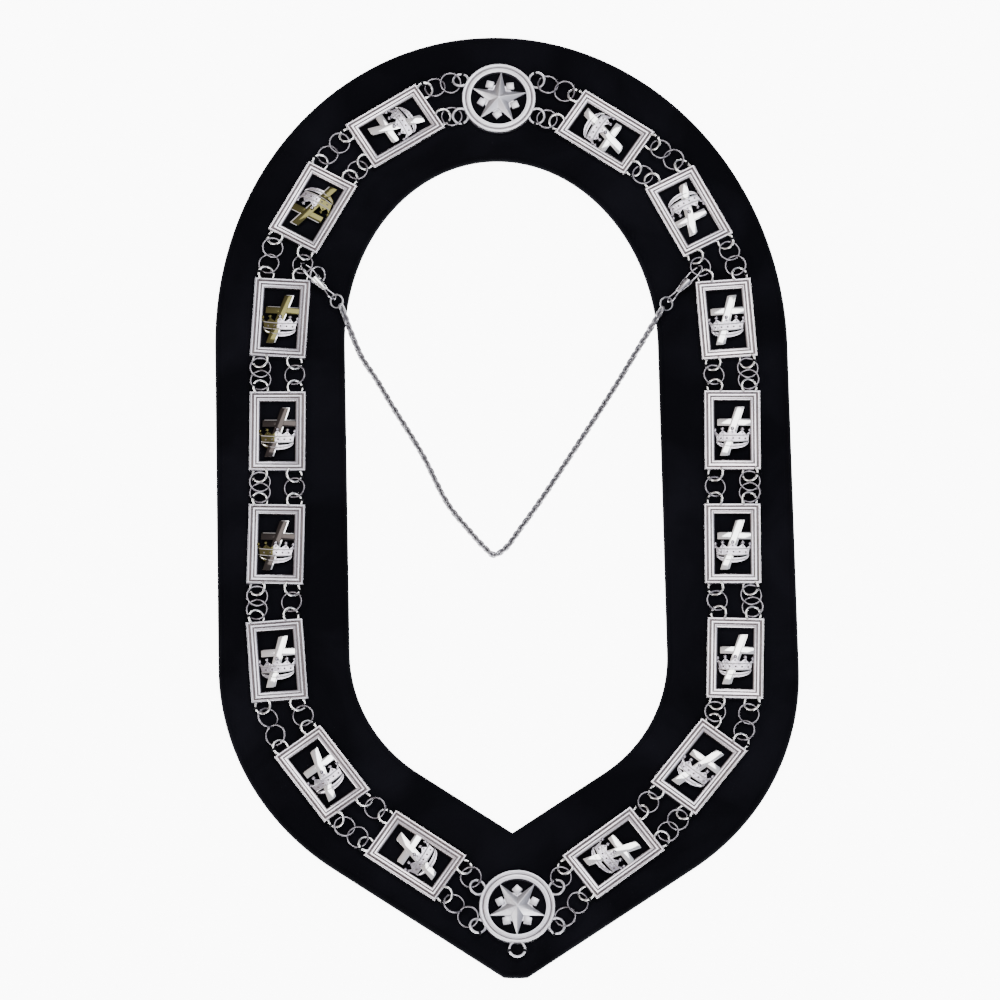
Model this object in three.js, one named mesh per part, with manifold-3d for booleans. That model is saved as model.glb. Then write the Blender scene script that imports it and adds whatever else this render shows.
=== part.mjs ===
// Chain collar: a padded velvet band, rectangular pierced plaques and two star medallions
// joined by jump rings, and a safety chain with a snap clasp at each end.
// Millimetres. X runs across the collar, Y from its point up to the neck, Z up from the surface.
import * as THREE from 'three';
import { mergeVertices } from 'three/addons/utils/BufferGeometryUtils.js';
import Module from 'manifold-3d';

const wasm = await Module();
wasm.setup();

// Driving sizes of the plaques and their row
const plaqueWidth = 34;
const plaqueLength = 51;
const plaqueThick = 3.3;
const plaqueGap = 22;
const plaqueBorder = 6.4;
const reliefStep = 0.7;
const wallDrop = 0.2;
const seatGap = 0.3;

// The row: its half width and ends in pitches, and how many plaques hang reversed at the back
const trackShare = { halfWidth: 1.874, top: 3.593, bottom: -3.475, shoulder: 1.4 };
const reversedPlaques = 2;
const leanRate = 0.0211;

// Lugs and jump rings
const lugWire = 1.6;
const lugRadius = 4.6;
const lugReach = 2.4;
const lugSink = 0.75;
const lugTilt = THREE.MathUtils.degToRad(18);
const ringWire = 1.1;
const ringSides = 10;
const ringRadius = 6.1;
const ringClearance = 0.4;
const ringBite = 0.22;
const velvetRoom = 0.05;
const pairSpan = 7.8;
const pairStretch = 0.38;

// Medallions
const medallionRadius = 22.5;
const medallionRim = 5.4;
const medallionLugAngle = THREE.MathUtils.degToRad(27);
const medallionLugOffset = 3.6;
const starPoints = 5;
const starWaist = 8;
const starRise = 1.6;
const gemSide = 6;
const gemCentre = 11.1;
const roofDrop = 1.1;
const medallionBed = 0.3;
const topStarTurn = -0.09;
const medallionShare = 0.013;

// Velvet band
const velvetThick = 4;
const velvetSoftEdge = 1;
const outerMargin = plaqueWidth / 2 + 19.2;
const topMargin = plaqueWidth / 2 + 20.9;
const innerMargin = plaqueWidth / 2 + 25.3;
const pointMargin = 47;
const pointAngle = THREE.MathUtils.degToRad(34);
const outerBend = 150;
const innerBend = 90;

// Emblem in each plaque window
const crossWidth = 4.4;
const emblemThick = 2.6;
const wallBite = 0.6;

// Clasps and safety chain
const casingLength = 10;
const casingFront = 7.2;
const casingRear = 3.8;
const casingThick = 2.2;
const claspWire = 1.1;
const hookReach = 12.5;
const tailLength = 8.4;
const tailRadius = 2.5;
const leverRoot = 2.2;
const leverRoom = 0.3;
const chainThick = 3.4;
const endRingRadius = 4;
const endRingWire = 1;
const endRingHold = 2.2;
const endRingRoll = 30;
const hungRingRadius = 5;
const claspPlaqueIndex = 2;

// Sizes that follow
const lugSpread = plaqueWidth * 0.303;
const pitch = plaqueLength + plaqueGap;
const trackHalfWidth = pitch * trackShare.halfWidth;
const trackTop = pitch * trackShare.top;
const trackBottom = pitch * trackShare.bottom;
const shoulderY = pitch * trackShare.shoulder;
const plaqueBase = velvetThick + seatGap;
const lugPlane = plaqueBase + plaqueThick - lugWire * 0.6;
const windowHalfWidth = plaqueWidth / 2 - plaqueBorder;
const windowHalfLength = plaqueLength / 2 - plaqueBorder;

const satin = { color: 0xc9c8cc, metalness: 1, roughness: 0.35 };
const steel = { color: 0x8d8c92, metalness: 1, roughness: 0.3 };
const velvet = { color: 0x0c0c12, metalness: 0, roughness: 0.95 };

const collar = new THREE.Group();

// Flat faces that a joint cut into pieces closer than this are merged again
const flatTolerance = 0.002;

function toSolid(geometry) {
  const bare = geometry.clone();
  bare.deleteAttribute('normal');
  bare.deleteAttribute('uv');
  const merged = mergeVertices(bare, 1e-4);
  return new wasm.Manifold(new wasm.Mesh({
    numProp: 3,
    vertProperties: new Float32Array(merged.attributes.position.array),
    triVerts: new Uint32Array(merged.index.array),
  }));
}

function toGeometry(solid) {
  const mesh = solid.asOriginal().simplify(flatTolerance).getMesh();
  const geometry = new THREE.BufferGeometry();
  geometry.setAttribute('position', new THREE.BufferAttribute(mesh.vertProperties, 3));
  geometry.setIndex(new THREE.BufferAttribute(mesh.triVerts, 1));
  return geometry;
}

function joined(geometries) {
  const [first, ...rest] = geometries.map(toSolid);
  return toGeometry(rest.reduce((sum, piece) => sum.add(piece), first));
}

function addMesh(name, geometry, finish) {
  const mesh = new THREE.Mesh(geometry, new THREE.MeshStandardMaterial(finish));
  mesh.name = name;
  collar.add(mesh);
  return mesh;
}

function wirePath(points, wire, sides, steps) {
  const section = new THREE.Shape();
  for (let i = 0; i < sides; i++) {
    const angle = (i + 0.5) / sides * 2 * Math.PI;
    const x = Math.cos(angle) * wire / 2;
    const y = Math.sin(angle) * wire / 2;
    if (i === 0) section.moveTo(x, y);
    else section.lineTo(x, y);
  }
  section.closePath();
  const path = new THREE.CatmullRomCurve3(points, false, 'centripetal');
  return new THREE.ExtrudeGeometry(section, { steps, extrudePath: path, bevelEnabled: false });
}

// The whole collar leans a little to one side as it lies
function lean(x, y) {
  return new THREE.Vector2(x - leanRate * y, y);
}

// Velvet band
function pointedOutline(path, halfWidth, topY, pointY, bend) {
  const endX = halfWidth - bend + bend * Math.sin(pointAngle);
  const endY = pointY + endX * Math.tan(pointAngle);
  const bendY = endY + bend * Math.cos(pointAngle);
  const turn = Math.PI / 2 - pointAngle;
  path.moveTo(halfWidth, shoulderY);
  path.absellipse(0, shoulderY, halfWidth, topY - shoulderY, 0, Math.PI, false, 0);
  path.absarc(-halfWidth + bend, bendY, bend, Math.PI, Math.PI + turn, false);
  path.lineTo(0, pointY);
  path.absarc(halfWidth - bend, bendY, bend, -turn, 0, false);
  path.closePath();
}

function velvetBand() {
  const shape = new THREE.Shape();
  const hole = new THREE.Path();
  const inset = velvetSoftEdge;
  pointedOutline(shape, trackHalfWidth + outerMargin - inset, trackTop + topMargin - inset,
    trackBottom - pointMargin + inset, outerBend - inset);
  pointedOutline(hole, trackHalfWidth - innerMargin + inset, trackTop - innerMargin + inset,
    trackBottom + pointMargin - inset, innerBend + inset);
  shape.holes.push(hole);
  const geometry = new THREE.ExtrudeGeometry(shape, {
    depth: velvetThick - 2 * velvetSoftEdge, curveSegments: 9,
    bevelEnabled: true, bevelThickness: velvetSoftEdge, bevelSize: velvetSoftEdge, bevelSegments: 1,
  });
  geometry.translate(0, 0, velvetSoftEdge);
  const place = geometry.attributes.position;
  for (let i = 0; i < place.count; i++) {
    place.setX(i, lean(place.getX(i), place.getY(i)).x);
  }
  return toGeometry(toSolid(geometry));
}

// A moulding swept round a rectangle: a square ring of the profile, stretched at its middle
function mitredFrame(profile, halfWidth, halfLength) {
  const corner = Math.min(halfWidth, halfLength);
  const points = profile.map(([inset, height]) => (
    new THREE.Vector2((corner - inset) * Math.SQRT2, height)));
  points.push(points[0].clone());
  const geometry = new THREE.LatheGeometry(points, 4, Math.PI / 4);
  geometry.rotateX(Math.PI / 2);
  const place = geometry.attributes.position;
  for (let i = 0; i < place.count; i++) {
    place.setX(i, place.getX(i) + Math.sign(place.getX(i)) * (halfWidth - corner));
    place.setY(i, place.getY(i) + Math.sign(place.getY(i)) * (halfLength - corner));
  }
  return geometry;
}

function plaqueFrame() {
  const top = plaqueThick;
  const low = plaqueThick - reliefStep;
  const across = (share) => plaqueBorder * share;
  const profile = [
    [0, 0], [0, top], [across(0.25), top], [across(0.33), low], [across(0.42), top],
    [across(0.66), top], [across(0.75), low], [plaqueBorder, top - wallDrop], [plaqueBorder, 0],
  ];
  return mitredFrame(profile, plaqueWidth / 2, plaqueLength / 2);
}

// One lug: an open wire loop whose ends run into the casting behind it, turned a little about
// the line to the lug that it is joined to
function lugGeometry({ x, y, heading, reach, axis = heading, tilt = 0 }) {
  const sink = Math.acos(Math.min(1, reach / lugRadius)) * lugSink;
  const points = [];
  const count = 5;
  for (let i = 0; i <= count; i++) {
    const angle = -Math.PI + sink + (i / count) * 2 * (Math.PI - sink);
    points.push(new THREE.Vector3(Math.cos(angle) * lugRadius, Math.sin(angle) * lugRadius, 0));
  }
  const geometry = wirePath(points, lugWire, 4, count);
  geometry.rotateZ(heading - axis);
  geometry.rotateX(tilt);
  geometry.rotateZ(axis);
  geometry.translate(x, y, lugPlane - plaqueBase);
  return geometry;
}

function polygon(points) {
  const shape = new THREE.Shape();
  points.forEach(([x, y], i) => (i === 0 ? shape.moveTo(x, y) : shape.lineTo(x, y)));
  shape.closePath();
  return shape;
}

function plate(shape, floor, thick) {
  const geometry = new THREE.ExtrudeGeometry(shape, { depth: thick, bevelEnabled: false });
  geometry.translate(0, 0, floor);
  return geometry;
}

// A leaning cross seen in front of a crown; lengths are shares of the window's half sizes
function emblem() {
  const w = windowHalfWidth;
  const h = windowHalfLength;
  const half = crossWidth / 2;
  const foot = [-0.5 * w, -0.89 * h];
  const head = [0.4 * w, 0.77 * h];
  const wall = w + wallBite;
  const upright = polygon([
    [foot[0] - half, foot[1]], [foot[0] + half, foot[1]],
    [head[0] + half, head[1]], [head[0] - half, head[1]],
  ]);
  const armLow = 0.14 * h;
  const armHigh = 0.35 * h;
  const arm = polygon([[-0.9 * w, armLow], [wall, armLow], [wall, armHigh], [-0.8 * w, armHigh]]);

  const crown = new THREE.Shape();
  crown.moveTo(-wall, 0);
  crown.lineTo(-0.82 * w, -0.5 * h);
  crown.lineTo(-0.42 * w, -0.64 * h);
  crown.lineTo(0.42 * w, -0.65 * h);
  crown.lineTo(0.8 * w, -0.52 * h);
  crown.lineTo(wall, 0);
  crown.lineTo(0.82 * w, -0.11 * h);
  crown.lineTo(0.6 * w, 0.08 * h);
  crown.lineTo(0.36 * w, -0.13 * h);
  crown.lineTo(0.05 * w, 0.1 * h);
  crown.lineTo(-0.26 * w, -0.13 * h);
  crown.lineTo(-0.5 * w, 0.08 * h);
  crown.lineTo(-0.76 * w, -0.11 * h);
  crown.closePath();
  return [
    plate(upright, 0, emblemThick),
    plate(arm, 0, emblemThick),
    plate(crown, 0, emblemThick),
  ];
}

// Lugs of a plaque in its own frame, before their turn about the line to the next casting is known
function plaqueLugs(sign) {
  return [1, -1].flatMap((end) => [sign, -sign].map((across) => ({
    end, strand: across === sign ? 'outer' : 'inner', reach: lugReach,
    heading: end * Math.PI / 2, x: across * lugSpread, y: end * (plaqueLength / 2 + lugReach),
  })));
}

// Medallion: grooved rim, five-pointed ridged star and small square studs between its arms
function medallionRimGeometry() {
  const top = plaqueThick;
  const profile = [
    [0, 0], [0, top - reliefStep], [0.11, top], [0.37, top], [0.48, top - reliefStep],
    [0.61, top - wallDrop], [1, top - wallDrop], [1, 0],
  ].map(([share, height]) => new THREE.Vector2(medallionRadius - medallionRim * share, height));
  profile.push(profile[0].clone());
  const geometry = new THREE.LatheGeometry(profile, 18);
  geometry.rotateX(Math.PI / 2);
  return geometry;
}

function starGeometry() {
  const tip = medallionRadius - medallionRim + wallBite;
  const rim = [];
  for (let i = 0; i < starPoints * 2; i++) {
    const angle = Math.PI / 2 + i * Math.PI / starPoints;
    const radius = i % 2 === 0 ? tip : starWaist;
    rim.push(new THREE.Vector2(Math.cos(angle) * radius, Math.sin(angle) * radius));
  }
  const wallHigh = plaqueThick - starRise;
  const roofHigh = starRise + roofDrop;
  const geometry = plate(polygon(rim.map((p) => [p.x, p.y])), medallionBed, wallHigh);
  const roof = new THREE.ConeGeometry(1, roofHigh, starPoints * 2);
  roof.rotateX(Math.PI / 2);
  roof.translate(0, 0, medallionBed + wallHigh + roofHigh / 2);
  const place = roof.attributes.position;
  for (let i = 0; i < place.count; i++) {
    const x = place.getX(i);
    const y = place.getY(i);
    if (Math.hypot(x, y) > 0.5) {
      const turn = Math.atan2(y, x) + 1.5 * Math.PI;
      const corner = Math.round(turn * starPoints / Math.PI) % rim.length;
      place.setXY(i, rim[corner].x, rim[corner].y);
    }
  }
  return [geometry, roof];
}

function gemGeometry(index) {
  const high = plaqueThick - reliefStep - medallionBed;
  const gem = new THREE.BoxGeometry(gemSide, gemSide, high);
  gem.rotateZ(Math.PI / 4);
  gem.translate(0, gemCentre, medallionBed + high / 2);
  gem.rotateZ((index + 0.5) * 2 * Math.PI / starPoints);
  return gem;
}

function medallionPieces(turn) {
  const pieces = [medallionRimGeometry(), ...starGeometry()];
  for (let i = 0; i < starPoints; i++) pieces.push(gemGeometry(i));
  pieces.forEach((piece) => piece.rotateZ(turn));
  return pieces;
}

// The upper lugs of the top medallion and the lower lugs of the bottom one carry the outer strand
function medallionLugs(outerEnd) {
  const reach = medallionRadius + medallionLugOffset;
  return [1, -1].flatMap((sign) => [1, -1].map((end) => {
    const heading = sign > 0 ? end * medallionLugAngle : Math.PI - end * medallionLugAngle;
    return {
      sign, strand: end === outerEnd ? 'outer' : 'inner', reach: medallionLugOffset,
      heading, x: Math.cos(heading) * reach, y: Math.sin(heading) * reach,
    };
  }));
}

function dropLug() {
  const reach = medallionRadius + medallionLugOffset;
  return { strand: 'drop', reach: medallionLugOffset, heading: -Math.PI / 2, x: 0, y: -reach };
}

// Stations of the row: x as a share of the half width, y in pitches, turn in degrees.
// A plaque's own top end points up the collar at turn 0; the four at the back hang reversed.
const stations = {
  left: [
    { x: 0.452, y: 3.34, turn: -57.8 }, { x: 0.824, y: 2.608, turn: -28.9 },
    { x: 0.974, y: 1.622, turn: -3.2 }, { x: 0.993, y: 0.622, turn: 0 },
    { x: 1.006, y: -0.368, turn: -1 }, { x: 1.008, y: -1.376, turn: 4.5 },
    { x: 0.818, y: -2.345, turn: 36.6 }, { x: 0.422, y: -3.042, turn: 56 },
  ],
  right: [
    { x: 0.481, y: 3.286, turn: 56.5 }, { x: 0.845, y: 2.575, turn: 27.9 },
    { x: 0.996, y: 1.614, turn: 4.3 }, { x: 1.007, y: 0.632, turn: 0 },
    { x: 0.992, y: -0.362, turn: 0 }, { x: 0.987, y: -1.355, turn: -1.4 },
    { x: 0.814, y: -2.286, turn: -37.6 }, { x: 0.434, y: -3.02, turn: -53 },
  ],
};

// A casting: where it lies, its pieces without lugs, and its lugs
function plaqueCasting(side, station, index) {
  const sign = side === 'left' ? -1 : 1;
  const reversed = index < reversedPlaques;
  const pieces = emblem();
  if (reversed) pieces.forEach((piece) => piece.rotateZ(Math.PI));
  return {
    name: `plaque_${side}_${index + 1}`,
    at: lean(sign * station.x * trackHalfWidth, station.y * pitch),
    turn: THREE.MathUtils.degToRad(station.turn),
    pieces: [plaqueFrame(), ...pieces],
    lugs: plaqueLugs(sign),
  };
}

function medallionCasting(name, y, turn, lugs) {
  const at = lean(medallionShare * trackHalfWidth, y);
  return { name, at, turn: 0, pieces: medallionPieces(turn), lugs };
}

function lugPlace(casting, place) {
  const own = new THREE.Vector2(place.x, place.y);
  return own.rotateAround(new THREE.Vector2(), casting.turn).add(casting.at);
}

// Turning the two lugs of a joint against the rings between them keeps the wires clear.
// One ring leaves both lugs turned the same way, a pair of rings leaves them turned apart.
function setLugTilt(casting, place, span, tilt) {
  place.axis = span.angle() - casting.turn;
  place.tilt = tilt;
}

function addCasting(casting) {
  const lugs = casting.lugs.map(lugGeometry);
  const mesh = addMesh(casting.name, joined([...casting.pieces, ...lugs]), satin);
  mesh.position.set(casting.at.x, casting.at.y, plaqueBase);
  mesh.rotation.z = casting.turn;
}

// A ring is turned about the line between the lugs it joins, so it runs over one side of each
// and under the other
function ring(centre, heading, roll, level = lugPlane, radius = ringRadius, wire = ringWire) {
  const geometry = new THREE.TorusGeometry(radius, wire / 2, 5, ringSides);
  geometry.rotateX(roll);
  geometry.rotateZ(heading);
  geometry.translate(centre.x, centre.y, level);
  return geometry;
}

function crossingSpan(reach, radiusA, radiusB) {
  const along = (reach * reach + radiusA * radiusA - radiusB * radiusB) / (2 * reach);
  return Math.sqrt(Math.max(1, radiusA * radiusA - along * along));
}

function singleRing(lugA, lugB, hand) {
  const span = lugB.clone().sub(lugA);
  const cross = crossingSpan(span.length() / 2, ringRadius, lugRadius);
  const needed = Math.asin(Math.min(1, (lugWire / 2 + ringWire / 2 + ringClearance) / cross));
  const centre = lugA.clone().add(lugB).multiplyScalar(0.5);
  return { centre, geometry: ring(centre, span.angle(), -hand * (needed - lugTilt)) };
}

// Two rings linked with each other, resting wire on wire where they cross and lifted clear of
// the velvet where they tilt far
function ringPair(lugA, lugB) {
  const span = lugB.clone().sub(lugA);
  const seat = ringRadius + ringWire / 2 + ringClearance - lugReach;
  const spare = Math.max(0, span.length() - 2 * seat - pairSpan);
  const apart = Math.min(span.length() - 2 * seat, pairSpan) + spare * pairStretch;
  const cross = crossingSpan(apart, ringRadius, ringRadius);
  const roll = Math.asin((ringWire - ringBite) / (2 * cross));
  const low = ringRadius * Math.sin(roll) + ringWire / 2;
  const level = Math.max(lugPlane, velvetThick + velvetRoom + low);
  const middle = lugA.clone().add(lugB).multiplyScalar(0.5);
  const half = span.clone().setLength(apart / 2);
  return [
    ring(middle.clone().sub(half), span.angle(), -roll, level),
    ring(middle.clone().add(half), span.angle(), roll, level),
  ];
}

// Snap clasp in its own frame: X runs from the casing to the nose of its hook
function casingGeometry(hand) {
  const half = casingFront / 2;
  const rear = casingRear / 2;
  const body = plate(polygon([
    [0, -half], [0, half], [-casingLength, rear], [-casingLength, -rear],
  ]), -casingThick / 2, casingThick);
  const slotWide = 2 * (claspWire + 2 * leverRoom);
  const slot = new THREE.BoxGeometry(leverRoot * 2 + claspWire, slotWide, casingThick * 2);
  slot.translate(0, hand * half, 0);
  return toSolid(body).subtract(toSolid(slot));
}

function hookWire(hand) {
  const side = -hand * casingFront / 2;
  return wirePath([
    [-0.12 * hookReach, side * 0.72], [0.2 * hookReach, side * 0.98], [0.56 * hookReach, side],
    [0.86 * hookReach, side * 0.68], [hookReach, 0], [0.95 * hookReach, -side * 0.5],
  ].map(([x, y]) => new THREE.Vector3(x, y, 0)), claspWire, 5, 9);
}

function tailWire() {
  const rear = -casingLength;
  const end = rear - tailLength;
  return wirePath([
    [rear + claspWire, tailRadius * 0.4], [rear - tailRadius, tailRadius * 0.7],
    [end + tailRadius, tailRadius], [end, 0], [end + tailRadius, -tailRadius],
    [rear - tailRadius, -tailRadius * 0.7], [rear + claspWire, -tailRadius * 0.4],
  ].map(([x, y]) => new THREE.Vector3(x, y, 0)), claspWire, 5, 10);
}

function leverWire(hand) {
  const side = hand * casingFront / 2;
  return wirePath([
    [-leverRoot, side * 0.78], [0.2 * hookReach, side * 0.98],
    [0.56 * hookReach, side], [0.85 * hookReach, side * 0.62],
  ].map(([x, y]) => new THREE.Vector3(x, y, 0)), claspWire, 5, 7);
}

// Where each clasp lies: its nose from the centre of the ring it hooks into, its heading,
// roll and pitch in degrees, and the level of its nose above the lugs
const clasps = {
  left: { nose: [-0.5, 0], heading: 130.5, roll: 40, pitch: 2, rise: 0.9, hand: -1 },
  right: { nose: [0.5, 0], heading: 49.5, roll: -40, pitch: 2, rise: 0.9, hand: 1 },
};
const claspRings = {};

// A spare ring that hangs on the left clasp and rests against its hook
const hungRing = { offset: [9.2, -7.5], heading: 60, roll: 35, rise: 1.2 };

function claspFrame(side) {
  const { nose, heading, roll, pitch, rise } = clasps[side];
  const turn = new THREE.Euler(...[roll, pitch, heading].map(THREE.MathUtils.degToRad), 'ZYX');
  const rotation = new THREE.Matrix4().makeRotationFromEuler(turn);
  const hold = new THREE.Vector2(...nose).add(claspRings[side]);
  const tip = new THREE.Vector3(hold.x, hold.y, lugPlane + rise);
  const place = new THREE.Matrix4().makeTranslation(tip).multiply(rotation);
  return place.multiply(new THREE.Matrix4().makeTranslation(-hookReach, 0, 0));
}

function hungRingGeometry() {
  const centre = new THREE.Vector2(...hungRing.offset).add(claspRings.left);
  const [heading, roll] = [hungRing.heading, hungRing.roll].map(THREE.MathUtils.degToRad);
  return ring(centre, heading, roll, lugPlane + hungRing.rise, hungRingRadius);
}

function addClasp(side) {
  const { hand } = clasps[side];
  const frame = claspFrame(side);
  const body = toGeometry(casingGeometry(hand).add(toSolid(hookWire(hand))).add(toSolid(tailWire())));
  body.applyMatrix4(frame);
  const pieces = side === 'left' ? [body, hungRingGeometry()] : [body];
  addMesh(`clasp_${side}`, joined(pieces), steel);
  addMesh(`clasp_lever_${side}`, toGeometry(toSolid(leverWire(hand))).applyMatrix4(frame), steel);
  return frame;
}

// The safety chain's route, from one end ring to the other: X and Y, and height above the
// surface or, near its ends, on the velvet
const chainRoute = [
  [-90.5, 103, 5.2], [-86.4, 94, 3.2], [-77.4, 80, 1.9], [-68.4, 64.1, 1.8], [-49.8, 32.2, 1.8],
  [-34.2, 0.3, 1.8], [-22.2, -15.6, 1.8], [-12, -27.5, 1.8], [-6.6, -31.9, 1.8], [0, -28, 1.8],
  [9, -15.6, 1.8], [19.8, 0.3, 1.8], [30, 16.3, 1.8], [49.8, 48.2, 1.8], [69, 80, 1.8],
  [77, 94, 2.2], [83, 104, 3.6],
];

function safetyChain(frames) {
  const ends = ['left', 'right'].map((side) => {
    const hold = -casingLength - tailLength - endRingRadius + endRingHold;
    const centre = new THREE.Vector3(hold, 0, 0).applyMatrix4(frames[side]);
    const tail = new THREE.Vector3(hold - endRingRadius, 0, 0).applyMatrix4(frames[side]);
    const heading = Math.atan2(tail.y - centre.y, tail.x - centre.x);
    const roll = Math.sign(clasps[side].roll) * THREE.MathUtils.degToRad(endRingRoll);
    return { tail, ring: ring(centre, heading, roll, centre.z, endRingRadius, endRingWire) };
  });
  const route = chainRoute.map((point) => new THREE.Vector3(...point));
  const tube = wirePath([ends[0].tail, ...route, ends[1].tail], chainThick, 8, 24);
  return joined([tube, ends[0].ring, ends[1].ring]);
}

const lowerLugs = [...medallionLugs(-1), dropLug()];
const medallionTop = medallionCasting('medallion_top', trackTop, topStarTurn, medallionLugs(1));
const medallionBottom = medallionCasting('medallion_bottom', trackBottom, Math.PI, lowerLugs);

addMesh('velvet_band', velvetBand(), velvet);
for (const [side, row] of Object.entries(stations)) {
  const sign = side === 'left' ? -1 : 1;
  const plaques = row.map((station, i) => plaqueCasting(side, station, i));
  const castings = [medallionTop, ...plaques, medallionBottom];
  for (let gap = 0; gap + 1 < castings.length; gap++) {
    const [above, below] = [castings[gap], castings[gap + 1]];
    for (const strand of ['outer', 'inner']) {
      const lugA = above.lugs.find((l) => l.strand === strand && (l.end === -1 || l.sign === sign));
      const lugB = below.lugs.find((l) => l.strand === strand && (l.end === 1 || l.sign === sign));
      const from = lugPlace(above, lugA);
      const to = lugPlace(below, lugB);
      const span = to.clone().sub(from);
      const hand = strand === 'outer' ? 1 : sign;
      setLugTilt(above, lugA, span, hand * lugTilt);
      setLugTilt(below, lugB, span, strand === 'outer' ? -lugTilt : hand * lugTilt);
      if (strand === 'outer') {
        addMesh(`outer_rings_${side}_${gap + 1}`, joined(ringPair(from, to)), steel);
      } else {
        const single = singleRing(from, to, sign);
        if (gap === claspPlaqueIndex) claspRings[side] = single.centre;
        addMesh(`inner_ring_${side}_${gap + 1}`, toGeometry(toSolid(single.geometry)), steel);
      }
    }
  }
  plaques.forEach(addCasting);
}
addCasting(medallionTop);
addCasting(medallionBottom);
const frames = { left: addClasp('left'), right: addClasp('right') };
addMesh('safety_chain', safetyChain(frames), steel);

const box = new THREE.Box3().setFromObject(collar);
const centre = box.getCenter(new THREE.Vector3());
collar.position.set(-centre.x, -centre.y, -box.min.z);

export default collar;
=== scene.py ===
# %% [markdown]
# # Chain collar on black velvet
# The CAD frame already has every piece at its true size and place, but with flat faces and
# straight stretches of wire. This lesson dresses it: each piece gets a finer body that stays
# where the CAD one is, and a finish. We begin by loading the frame and noting its box.

# %% Load the frame
import math

import bmesh
import bpy
from mathutils import Matrix, Vector, noise


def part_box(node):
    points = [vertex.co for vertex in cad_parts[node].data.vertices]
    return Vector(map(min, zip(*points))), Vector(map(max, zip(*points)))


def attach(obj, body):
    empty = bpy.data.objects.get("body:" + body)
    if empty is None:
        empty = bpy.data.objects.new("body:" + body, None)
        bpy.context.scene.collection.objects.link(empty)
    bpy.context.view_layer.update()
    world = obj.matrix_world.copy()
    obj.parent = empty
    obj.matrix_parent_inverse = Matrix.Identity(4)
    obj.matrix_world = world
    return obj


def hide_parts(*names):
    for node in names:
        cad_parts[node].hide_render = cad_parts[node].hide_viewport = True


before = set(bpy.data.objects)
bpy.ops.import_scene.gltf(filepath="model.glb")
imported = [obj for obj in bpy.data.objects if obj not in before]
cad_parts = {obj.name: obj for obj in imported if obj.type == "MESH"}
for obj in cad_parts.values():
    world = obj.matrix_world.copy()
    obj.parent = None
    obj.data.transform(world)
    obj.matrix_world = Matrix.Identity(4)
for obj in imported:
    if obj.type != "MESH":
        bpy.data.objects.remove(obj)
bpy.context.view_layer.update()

# %% [markdown]
# ## Camera
# The collar lies flat and was pictured from well above through a long lens: round rings look
# only a little lower than wide. A 300 mm lens five metres away gives the same flat picture.

# %% Camera
VIEW_ELEVATION = math.radians(70)
PICTURE_WIDTH = 0.6
LENS = 300
SENSOR = 36
picture_centre = Vector((-0.003, 0.0026, 0.004))
camera_data = bpy.data.cameras.new("camera")
camera_data.lens = LENS
camera_data.sensor_width = SENSOR
camera_data.clip_end = 50
camera = bpy.data.objects.new("camera", camera_data)
bpy.context.collection.objects.link(camera)
view_direction = Vector((0, -math.cos(VIEW_ELEVATION), math.sin(VIEW_ELEVATION)))
camera_distance = PICTURE_WIDTH * LENS / SENSOR
camera.location = picture_centre + view_direction * camera_distance
camera.rotation_euler = view_direction.to_track_quat("Z", "Y").to_euler()
bpy.context.scene.camera = camera
print("camera distance", round(camera_distance, 2), "m")

# %% [markdown]
# ## Floor and light
# The floor shines a little itself, like a light table, so it stays white right up to the
# velvet. The sky is dark near the ground and bright overhead, warm on one side and cool on the
# other: flat silver mirrors its bright part, and rounded edges and grooves its dark part. Of
# the three soft boxes the first stands where flat faces mirror it towards the camera.

# %% Floor, sky and soft boxes
def plain_material(name, color, roughness):
    material = bpy.data.materials.new(name)
    material.use_nodes = True
    shader = material.node_tree.nodes["Principled BSDF"]
    shader.inputs["Base Color"].default_value = (*color, 1)
    shader.inputs["Roughness"].default_value = roughness
    return material


def map_range(tree, from_low, from_high, to_low, to_high):
    node = tree.nodes.new("ShaderNodeMapRange")
    node.inputs["From Min"].default_value = from_low
    node.inputs["From Max"].default_value = from_high
    node.inputs["To Min"].default_value = to_low
    node.inputs["To Max"].default_value = to_high
    return node


def color_mix(tree):
    node = tree.nodes.new("ShaderNodeMix")
    node.data_type = "RGBA"
    return node


FLOOR_HALF_SIZE, FLOOR_SHINE = 6, 9
bm = bmesh.new()
bmesh.ops.create_grid(bm, x_segments=1, y_segments=1, size=FLOOR_HALF_SIZE)
floor_mesh = bpy.data.meshes.new("floor")
bm.to_mesh(floor_mesh)
bm.free()
floor = bpy.data.objects.new("floor", floor_mesh)
white_floor = plain_material("white_floor", (0.96, 0.96, 0.96), 0.9)
floor_shader = white_floor.node_tree.nodes["Principled BSDF"]
floor_shader.inputs["Emission Color"].default_value = (1, 1, 1, 1)
floor_shader.inputs["Emission Strength"].default_value = FLOOR_SHINE
floor.data.materials.append(white_floor)
bpy.context.collection.objects.link(floor)

WARM_SIDE, COOL_SIDE = (1.0, 0.9, 0.88, 1), (0.84, 0.87, 1.0, 1)
sky = bpy.data.worlds.new("sky")
sky.use_nodes = True
sky_tree = sky.node_tree
direction = sky_tree.nodes.new("ShaderNodeTexCoord")
axes = sky_tree.nodes.new("ShaderNodeSeparateXYZ")
brightness = map_range(sky_tree, 0.25, 0.95, 0.1, 0.95)
side_share = map_range(sky_tree, -0.5, 0.5, 0, 1)
side_tint = color_mix(sky_tree)
side_tint.inputs["A"].default_value = WARM_SIDE
side_tint.inputs["B"].default_value = COOL_SIDE
background = sky_tree.nodes["Background"]
sky_tree.links.new(direction.outputs["Generated"], axes.inputs["Vector"])
sky_tree.links.new(axes.outputs["Z"], brightness.inputs["Value"])
sky_tree.links.new(axes.outputs["X"], side_share.inputs["Value"])
sky_tree.links.new(side_share.outputs["Result"], side_tint.inputs["Factor"])
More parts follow.
